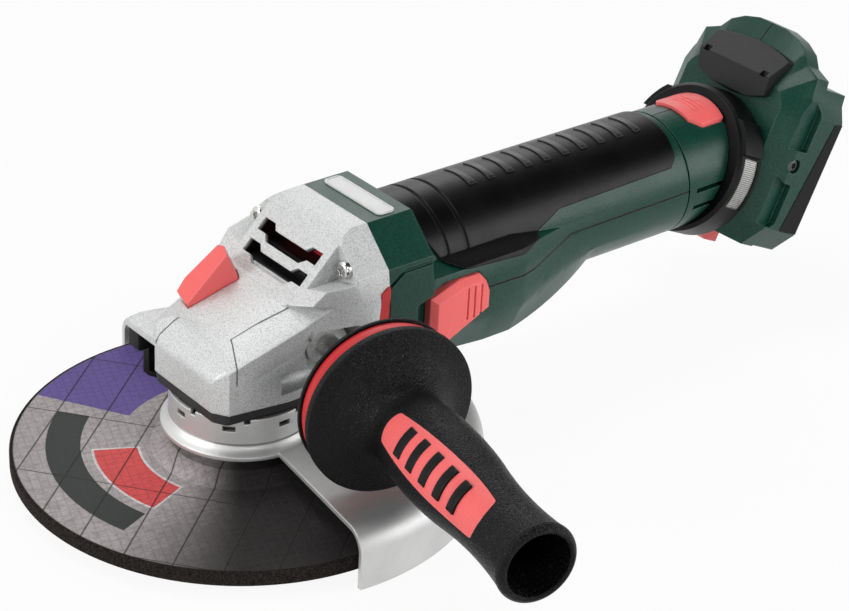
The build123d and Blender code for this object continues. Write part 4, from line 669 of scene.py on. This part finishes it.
def pebbled_grip(name, colour, roughness):
    """Soft black plastic with a leather grain, painted shade in the creases between its pebbles, and a
    painted highlight along its rounded edges.
    """
    material, shades, shader = start_material(name)
    skin = shades.group("leather_grain", Pebbles=850.0)
    rim = shades.group("rounded_edges", Radius=1.2 * MM)
    deep = tuple(0.45 * part for part in colour)
    # Painted shade in the creases between the pebbles
    tone = shades.mix(skin["Crease"], colour, deep)
    paler = tuple(8 * part for part in colour)
    # Painted highlight along the rounded edges
    tone = shades.mix(shades.math("MULTIPLY", rim["Edge"], 0.5), tone, paler)
    shades.feed(tone, shader["Base Color"])
    gloss = shades.ramp(skin["Height"], 0.0, 1.0, roughness + 0.12, roughness)
    shades.feed(gloss, shader["Roughness"])
    shades.feed(shades.bump(skin["Height"], 0.18 * MM, rim["Normal"]), shader["Normal"])
    shader["Specular IOR Level"].default_value = 0.15
    return material


def pressed_sheet(name):
    """Bright zinc-plated sheet, a little cloudy, with fine rolling lines."""
    material, shades, shader = start_material(name)
    rim = shades.group("rounded_edges", Radius=0.8 * MM)
    wear = shades.group("handling_marks", Size=28.0)
    lines = shades.noise(shades.place(scale=(60, 2200, 2200)), 1.0, 3.0)
    tone = shades.mix(wear["Smudge"], ZINC_CLEAR, ZINC_CLOUDY)
    tone = shades.mix(shades.ramp(lines, 0.4, 0.8, 0.0, 0.25), tone, ZINC_LINES)
    shades.feed(tone, shader["Base Color"])
    shader["Metallic"].default_value = 0.85
    shades.feed(shades.ramp(wear["Smudge"], 0.0, 1.0, 0.49, 0.57), shader["Roughness"])
    shades.feed(shades.bump(lines, 0.012 * MM, rim["Normal"]), shader["Normal"])
    return material


def grinding_disc(name):
    """Bonded grit with a paper face: threads that show through grey ink, fields of colour, and a painted
    shadow over one side of the print.
    """
    material, shades, shader = start_material(name)
    place = shades.place()
    x, y, height = shades.parts(place)
    across = shades.math("MULTIPLY", x, x)
    radius = shades.math("SQRT", shades.math("ADD", across, shades.math("MULTIPLY", y, y)))
    forward = shades.math("MULTIPLY", x, -1.0)
    sideward = shades.math("MULTIPLY", y, -1.0)
    angle = shades.math("ARCTAN2", sideward, forward)

    def between(value, low, high, soft):
        """A mask that is 1 from low to high, with soft ends."""
        rise = shades.ramp(value, low - soft, low + soft)
        fall = shades.ramp(value, high - soft, high + soft, 1.0, 0.0)
        return shades.math("MULTIPLY", rise, fall)

    def threads(turn, pitch, width):
        """Threads one pitch apart, across one direction."""
        sideways = shades.parts(shades.place(turn=(0, 0, turn)))["X"]
        wave = shades.math("PINGPONG", sideways, pitch / 2)
        return shades.ramp(wave, 0.3 * width, width, 1.0, 0.0)

    def field(inner, outer, first, last, grow):
        """A ring sector between two radii and two angles, made wider all round by a border."""
        reach = grow / outer
        ring = between(radius, (inner - grow) * MM, (outer + grow) * MM, 0.12 * MM)
        sector = between(angle, radians(first) - reach, radians(last) + reach, 0.002)
        return shades.math("MULTIPLY", ring, sector)

    grit = shades.noise(place, 1300.0, 4.0, 0.7)
    coarse = shades.noise(place, 420.0, 3.0, 0.65)
    fibre_place = shades.place(turn=(0, 0, DISC_LONG_TURN), scale=(160, 1300, 1300))
    fibre = shades.noise(fibre_place, 1.0, 3.0, 0.6)
    bond = shades.mix(shades.ramp(grit, 0.35, 0.7), *DISC_BOND)
    net_along = threads(DISC_NET_TURN, DISC_NET, DISC_THREAD_WIDE)
    net_across = threads(DISC_NET_TURN + pi / 2, DISC_NET, DISC_THREAD_WIDE)
    fine_net = shades.math("MAXIMUM", net_along, net_across)
    long_along = threads(DISC_LONG_TURN, DISC_LONG, DISC_THREAD_WIDE)
    long_across = threads(DISC_LONG_TURN + pi / 2, DISC_CROSS, DISC_CROSS_WIDE)
    long_net = shades.math("MAXIMUM", long_along, long_across)
    ink = shades.mix(shades.ramp(coarse, 0.3, 0.7), *DISC_INK)
    for number, (colour, inner, outer, first, last) in enumerate(DISC_FIELDS):
        if number == DISC_OUTLINED:
            ink = shades.mix(field(inner, outer, first, last, 1.0), ink, DISC_OUTLINE)
        ink = shades.mix(field(inner, outer, first, last, 0.0), ink, colour)
    # Painted shadow: the print turns dark across the shadow angles, as if shaded by the guard
    painted_shadow = shades.math("MULTIPLY", shades.ramp(angle, *DISC_SHADOW_ANGLES), 0.95)
    ink = shades.mix(painted_shadow, ink, DISC_SHADOW_COLOUR)
    ink = shades.mix(shades.ramp(fibre, 0.5, 0.75, 0.0, 0.4), ink, DISC_FIBRE)
    ink = shades.mix(shades.math("MULTIPLY", fine_net, 0.16), ink, DISC_FIBRE)
    ink = shades.mix(shades.math("MULTIPLY", long_net, 0.8), ink, DISC_THREAD)
    ink = shades.mix(shades.ramp(grit, 0.58, 0.72, 0.0, 0.6), ink, DISC_GRIT)
    printed = between(radius, 0.0, DISC_PRINT, 0.4 * MM)
    on_top = shades.ramp(height, DISC_TOP - 0.4 * MM, DISC_TOP - 0.2 * MM)
    printed = shades.math("MULTIPLY", printed, on_top)
    shades.feed(shades.mix(printed, bond, ink), shader["Base Color"])
    shades.feed(shades.ramp(printed, 0.0, 1.0, 0.9, 0.62), shader["Roughness"])
    shader["Specular IOR Level"].default_value = 0.12
    rough_skin = shades.math("ADD", grit, shades.math("MULTIPLY", fine_net, 0.3))
    rough_skin = shades.math("SUBTRACT", rough_skin, shades.math("MULTIPLY", long_net, 0.6))
    shades.feed(shades.bump(rough_skin, 0.16 * MM), shader["Normal"])
    return material


def woven_mesh(name):
    """Fine steel wire cloth round the tilted filter ring."""
    material, shades, shader = start_material(name)
    x, y, z = shades.parts(shades.place())
    cosine, sine = cos(FOOT_TILT), sin(FOOT_TILT)
    along = shades.math("ADD", shades.math("MULTIPLY", x, cosine), shades.math("MULTIPLY", z, -sine))
    upward = shades.math("ADD", shades.math("MULTIPLY", x, sine), shades.math("MULTIPLY", z, cosine))
    centre_up = RING_CENTRE.x * sine + RING_CENTRE.z * cosine
    angle = shades.math("ARCTAN2", y, shades.math("SUBTRACT", upward, centre_up))
    round_way = shades.math("MULTIPLY", angle, RING_RADIUS)
    wires = []
    for way in (along, round_way):
        wave = shades.math("PINGPONG", way, MESH_PITCH / 2)
        wires.append(shades.ramp(wave, MESH_PITCH * 0.12, MESH_PITCH * 0.3, 1.0, 0.0))
    wire = shades.math("MAXIMUM", wires[0], wires[1])
    shades.feed(shades.mix(wire, MESH_DARK, MESH_WIRE), shader["Base Color"])
    shades.feed(wire, shader["Metallic"])
    shader["Roughness"].default_value = 0.35
    shades.feed(shades.bump(wire, 0.25 * MM), shader["Normal"])
    return material


make_rounded_edges()
make_sand_speckle()
make_moulded_grain()
make_leather_grain()
make_handling_marks()

# Finishes of the parts and pieces; for each plastic, the colour after its roughness is the painted
# highlight on its rounded edges
cast_skin = cast_silver("cast_silver", (0.66, 0.67, 0.665), (0.17, 0.17, 0.17), 0.48, NOSE_LINES)
green_skin = moulded_plastic("green_moulding", **GREEN_LOOK)
housing_skin = moulded_plastic("green_housing", **GREEN_LOOK, lines=PARTING_LINE)
split_skin = moulded_plastic("green_split_shell", **GREEN_LOOK, seam=True)
black_skin = moulded_plastic(
    "black_moulding", (0.003, 0.003, 0.0032), 0.36, (0.025, 0.025, 0.026), gleam=0.14
)
soft_skin = moulded_plastic(
    "soft_grip", (0.002, 0.002, 0.0022), 0.35, (0.022, 0.022, 0.024), gleam=0.17, depth=0.06, edge=1.0
)
grey_skin = moulded_plastic(
    "dark_grey_moulding", (0.013, 0.0133, 0.014), 0.46, (0.04, 0.04, 0.04), gleam=0.25
)
red_skin = moulded_plastic(
    "coral_red", (0.88, 0.14, 0.137), 0.42, (0.92, 0.28, 0.27), gleam=0.4, pits=0.95
)
deep_red_skin = moulded_plastic(
    "deep_red", (0.58, 0.026, 0.030), 0.42, (0.66, 0.10, 0.10), gleam=0.3, pits=0.9
)
badge_skin = moulded_plastic("pale_badge", (0.66, 0.67, 0.66), 0.36, (0.78, 0.78, 0.78), pits=0.95)
rib_skin = moulded_plastic(
    "grip_rib", (0.006, 0.006, 0.0063), 0.36, (0.03, 0.03, 0.031), gleam=0.4, depth=0.02, edge=0.4
)
pebble_skin = pebbled_grip("pebbled_handle", (0.002, 0.0021, 0.0028), 0.33)
zinc_skin = pressed_sheet("zinc_sheet")
disc_skin = grinding_disc("grinding_disc")
mesh_skin = woven_mesh("filter_wire")
steel_skin = plain_metal("bare_steel", (0.62, 0.61, 0.59), 0.26)
bright_skin = plain_metal("bearing_steel", (0.72, 0.72, 0.71), 0.16)
dark_skin = plain_metal("blackened_steel", (0.10, 0.10, 0.105), 0.34)
bronze_skin = plain_metal("sintered_bronze", (0.52, 0.33, 0.16), 0.4)
stack_skin = plain_metal("lamination_stack", (0.34, 0.34, 0.35), 0.42)
flange_skin = cast_silver("black_casting", (0.028, 0.028, 0.029), (0.010, 0.010, 0.010), 0.5)

# Which finish each material slot wears, and the parts that wear another
SLOT_FINISH = {
    "abrasive": disc_skin,
    "steel": steel_skin,
    "bearing_steel": bright_skin,
    "bronze": bronze_skin,
    "casting": cast_skin,
    "black_casting": flange_skin,
    "dark_steel": dark_skin,
    "zinc_sheet": zinc_skin,
    "lever_black": black_skin,
    "red_plastic": red_skin,
    "green_plastic": green_skin,
    "soft_black": soft_skin,
    "black_plastic": black_skin,
    "dark_grey_plastic": grey_skin,
    "lamination": stack_skin,
    "mesh_steel": mesh_skin,
}
NODE_FINISH = {
    "handle_grip": pebble_skin,
    "handle_disc": pebble_skin,
    "handle_damper": deep_red_skin,
    "baffle": deep_red_skin,
    "motor_housing": housing_skin,
    "rear_shell_left": split_skin,
    "rear_shell_right": split_skin,
}


def make_smooth_view():
    """A modifier that joins a part's triangles and shades its round faces smooth."""
    tree = bpy.data.node_groups.new("smooth_view", "GeometryNodeTree")
    tree.interface.new_socket("Geometry", in_out="INPUT", socket_type="NodeSocketGeometry")
    tree.interface.new_socket("Geometry", in_out="OUTPUT", socket_type="NodeSocketGeometry")
    shades = Shades(tree)
    given = shades.add("NodeGroupInput")
    joined = shades.add("GeometryNodeMergeByDistance")
    joined.inputs["Distance"].default_value = JOIN_WITHIN
    bend = shades.add("GeometryNodeInputMeshEdgeAngle")
    gentle = shades.add("FunctionNodeCompare", operation="LESS_THAN")
    gentle.inputs[1].default_value = PART_SMOOTH
    faces = shades.add("GeometryNodeSetShadeSmooth", domain="FACE")
    edges = shades.add("GeometryNodeSetShadeSmooth", domain="EDGE")
    out = shades.add("NodeGroupOutput")
    shades.feed(given.outputs[0], joined.inputs["Geometry"])
    shades.feed(joined.outputs[0], faces.inputs["Geometry"])
    shades.feed(faces.outputs[0], edges.inputs["Geometry"])
    shades.feed(bend.outputs["Unsigned Angle"], gentle.inputs[0])
    shades.feed(gentle.outputs["Result"], edges.inputs["Shade Smooth"])
    shades.feed(edges.outputs[0], out.inputs[0])
    return tree


def dress_nodes():
    """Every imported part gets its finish, and is shaded smooth where it is round."""
    slot_of = {row["node"]: row["material_slot"] for row in frame["record"]["subparts"]}
    smooth_view = make_smooth_view()
    for name, part in nodes.items():
        finish = NODE_FINISH.get(name) or SLOT_FINISH[slot_of[name]]
        part.data.materials.clear()
        part.data.materials.append(finish)
        view = part.modifiers.new("smooth_view", "NODES")
        view.node_group = smooth_view


def start_piece(name, primitive, **shape):
    """A new piece is begun from a primitive, with nothing else selected."""
    bpy.ops.object.select_all(action="DESELECT")
    primitive(**shape)
    piece = bpy.context.object
    piece.name = name
    piece.data.name = name
    bpy.ops.object.transform_apply(location=True, rotation=True, scale=True)
    return piece


def choose(piece, kind, test):
    """In edit mode, only the points, edges or faces that pass a test are selected."""
    bpy.ops.mesh.select_mode(type=kind)
    bpy.ops.mesh.select_all(action="DESELECT")
    mesh = bmesh.from_edit_mesh(piece.data)
    items = {"VERT": mesh.verts, "EDGE": mesh.edges, "FACE": mesh.faces}[kind]
    for item in items:
        if test(item):
            item.select_set(True)
    mesh.select_flush_mode()
    bmesh.update_edit_mesh(piece.data)


def move_picked(shift):
    """In edit mode, the selected faces are drawn out by a shift."""
    bpy.ops.mesh.extrude_region_move(TRANSFORM_OT_translate={"value": shift})


def finish_piece(piece, material, body="housing", stands_for=None):
    """Smooth shading, a finish and the body that the piece rides on."""
    bpy.ops.object.mode_set(mode="OBJECT")
    bpy.ops.object.shade_smooth_by_angle(angle=PIECE_SMOOTH)
    piece.data.materials.clear()
    piece.data.materials.append(material)
    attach(piece, body)
    if stands_for:
        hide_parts(stands_for)


def join_copies(name, model, places):
    """Copies of a model, each with its own mesh, stand at their places and become one piece."""
    copies = []
    for place in places:
        copy = model.copy()
        copy.data = model.data.copy()
        bpy.context.scene.collection.objects.link(copy)
        copy.matrix_world = place
        copies.append(copy)
    bpy.data.objects.remove(model)
    bpy.ops.object.select_all(action="DESELECT")
    for copy in copies:
        copy.select_set(True)
    bpy.context.view_layer.objects.active = copies[0]
    bpy.ops.object.join()
    joined = bpy.context.object
    joined.name = name
    joined.data.name = name
    bpy.ops.object.transform_apply(location=True, rotation=True, scale=True)
    return joined


def standing(seat, facing):
    """The place of a screw whose head points along facing, given in millimetres."""
    turned = Vector(facing).to_track_quat("Z", "Y").to_matrix().to_4x4()
    return Matrix.Translation(Vector(seat) * MM) @ turned


def make_screw(head, tall, shank, long):
    """One screw at the origin: a domed head with a six-lobed socket above, the shank below."""
    head, tall, shank, long = head * MM, tall * MM, shank * MM, long * MM
    top = 0.98 * tall
    shape = {"vertices": SCREW_SIDES, "radius": head, "depth": tall, "location": (0, 0, tall / 2)}
    screw = start_piece("screw", bpy.ops.mesh.primitive_cylinder_add, **shape)

    def between_lobes(point):
        """Two of every four points round the socket are drawn in."""
        turn = point.co.xy.angle_signed(Vector((1, 0)))
        step = round(turn / (2 * pi / SCREW_SIDES)) % LOBE_SIDES
        return point.co.z > top and point.co.xy.length < 0.8 * head and step > 1

    def in_socket(face):
        return face.normal.z > 0.9 and face.calc_center_median().xy.length < 0.1 * head

    def on_rim(edge):
        return all(point.co.z > top and point.co.xy.length > 0.9 * head for point in edge.verts)

    def under_head(face):
        return face.normal.z < -0.9 and face.calc_center_median().z < 0.1 * tall

    bpy.ops.object.mode_set(mode="EDIT")
    choose(screw, "FACE", lambda face: face.normal.z > 0.9)
    bpy.ops.mesh.inset(thickness=0.44 * head)
    choose(screw, "VERT", between_lobes)
    bpy.ops.transform.resize(value=(0.72, 0.72, 1), center_override=(0, 0, 0))
    choose(screw, "FACE", in_socket)
    move_picked((0, 0, -0.62 * tall))
    choose(screw, "EDGE", on_rim)
    bpy.ops.mesh.bevel(offset=min(0.55 * tall, 0.36 * head), segments=5, affect="EDGES")
    choose(screw, "FACE", under_head)
    bpy.ops.mesh.inset(thickness=head - shank)
    move_picked((0, 0, -long))
    bpy.ops.object.mode_set(mode="OBJECT")
    return screw


def foot_point(n, u):
    """The x and z of a point n along the foot's axis and u up its face, in millimetres."""
    x = RING_CENTRE.x / MM + n * cos(FOOT_TILT) + u * sin(FOOT_TILT)
    z = RING_CENTRE.z / MM - n * sin(FOOT_TILT) + u * cos(FOOT_TILT)
    return x, z


def make_screws():
    """The screws of the gear housing, the bearing flange and the foot."""
    places = [standing(seat, (-1, 0, 0)) for seat in HOUSING_SEATS]
    screws = join_copies("housing_screw_set", make_screw(*HOUSING_SCREW), places)
    finish_piece(screws, bright_skin, stands_for="housing_screws")
    places = [standing(seat, (0, 0, -1)) for seat in FLANGE_SEATS]
    screws = join_copies("flange_screw_set", make_screw(*FLANGE_SCREW), places)
    finish_piece(screws, dark_skin, stands_for="flange_screws")
    places = []
    for n, u, side in FOOT_SEATS:
        x, z = foot_point(n, u)
        places.append(standing((x, side * FOOT_SEAT_OUT, z), (0, side, 0)))
    screws = join_copies("foot_screw_set", make_screw(*FOOT_SCREW), places)
    finish_piece(screws, dark_skin, stands_for="shell_screws")


def make_collar_badge():
    """A blank raised plate on the collar, with a sunk face and a rounded rim."""
    shape = {"size": 1, "location": BADGE_AT, "scale": BADGE_SIZE}
    badge = start_piece("collar_badge", bpy.ops.mesh.primitive_cube_add, **shape)
    bpy.ops.object.mode_set(mode="EDIT")
    upright = 0.5 * MM
    choose(badge, "EDGE", lambda edge: abs(edge.verts[0].co.z - edge.verts[1].co.z) > upright)
    bpy.ops.mesh.bevel(offset=BADGE_CORNER, segments=5, affect="EDGES")
    choose(badge, "FACE", lambda face: face.normal.z > 0.9)
    bpy.ops.mesh.inset(thickness=BADGE_RIM)
    move_picked((0, 0, -BADGE_SUNK))
    near_top = COLLAR_TOP + 0.75 * MM
    choose(badge, "EDGE", lambda edge: all(point.co.z > near_top for point in edge.verts))
    bpy.ops.mesh.bevel(offset=BADGE_ROUND, segments=2, affect="EDGES")
    finish_piece(badge, badge_skin)


def make_arc_rib(name, radius, width, rise, sweep):
    """A rib that lies round the X axis, its middle straight up: a strip spun through its sweep."""
    height = rise + RIB_ROOT
    middle = (0, 0, radius + rise - height / 2)
    shape = {"size": 1, "location": middle, "rotation": (pi / 2, 0, 0)}
    rib = start_piece(name, bpy.ops.mesh.primitive_plane_add, **shape)
    bpy.ops.object.mode_set(mode="EDIT")
    choose(rib, "FACE", lambda face: True)
    bpy.ops.transform.resize(value=(width, 1, height), center_override=middle)
    bpy.ops.transform.rotate(value=-sweep / 2, orient_axis="X", center_override=(0, 0, 0))
    bpy.ops.mesh.spin(steps=10, angle=sweep, center=(0, 0, 0), axis=(1, 0, 0))
    bpy.ops.mesh.select_all(action="SELECT")
    bpy.ops.mesh.remove_doubles(threshold=0.01 * MM)
    bpy.ops.mesh.fill_holes(sides=4)
    bpy.ops.mesh.normals_make_consistent(inside=False)
    outer = radius + 0.5 * rise
    choose(rib, "EDGE", lambda edge: all(point.co.yz.length > outer for point in edge.verts))
    bpy.ops.mesh.bevel(offset=0.3 * rise, segments=2, affect="EDGES")
    bpy.ops.object.mode_set(mode="OBJECT")
    return rib


def make_grip_ribs():
    """A row of low finger ribs along the top of the soft grip."""
    rib = make_arc_rib("grip_rib", GRIP_RADIUS, *GRIP_RIB)
    places = [Matrix.Translation((x * MM, 0, MOTOR_HEIGHT)) for x in GRIP_RIB_PLACES]
    ribs = join_copies("grip_ribs", rib, places)
    finish_piece(ribs, rib_skin)


def make_latch_ribs():
    """Three thin ribs across the upper red latch, to press against."""
    rib = make_arc_rib("latch_rib", LATCH_RADIUS, *LATCH_RIB)
    places = [Matrix.Translation((x * MM, 0, MOTOR_HEIGHT)) for x in LATCH_RIB_PLACES]
    ribs = join_copies("latch_ribs", rib, places)
    finish_piece(ribs, red_skin, body="filter_latch_top")


def make_handle_ribs():
    """Dark thumb ribs across the red inlay of the side handle."""
    across = INLAY_FACING.cross(HANDLE_OUT)
    turned = Matrix((HANDLE_OUT, across, INLAY_FACING)).transposed().to_4x4()
    for number, (along, radius, sweep) in enumerate(HANDLE_RIBS):
        shape = (HANDLE_RIB_WIDTH, HANDLE_RIB_RISE, radians(sweep))
        rib = make_arc_rib("handle_rib", radius * MM, *shape)
        place = Matrix.Translation(HANDLE_AT + HANDLE_OUT * along * MM) @ turned
        rib = join_copies(f"handle_rib_{number + 1}", rib, [place])
        finish_piece(rib, black_skin)


dress_nodes()
make_camera()
make_world()
make_floor()
make_screws()
make_collar_badge()
make_grip_ribs()
make_latch_ribs()
make_handle_ribs()
for lamp_name, lamp in LAMPS.items():
    make_area_light(lamp_name, *lamp)

bpy.context.scene.view_settings.view_transform = "Standard"
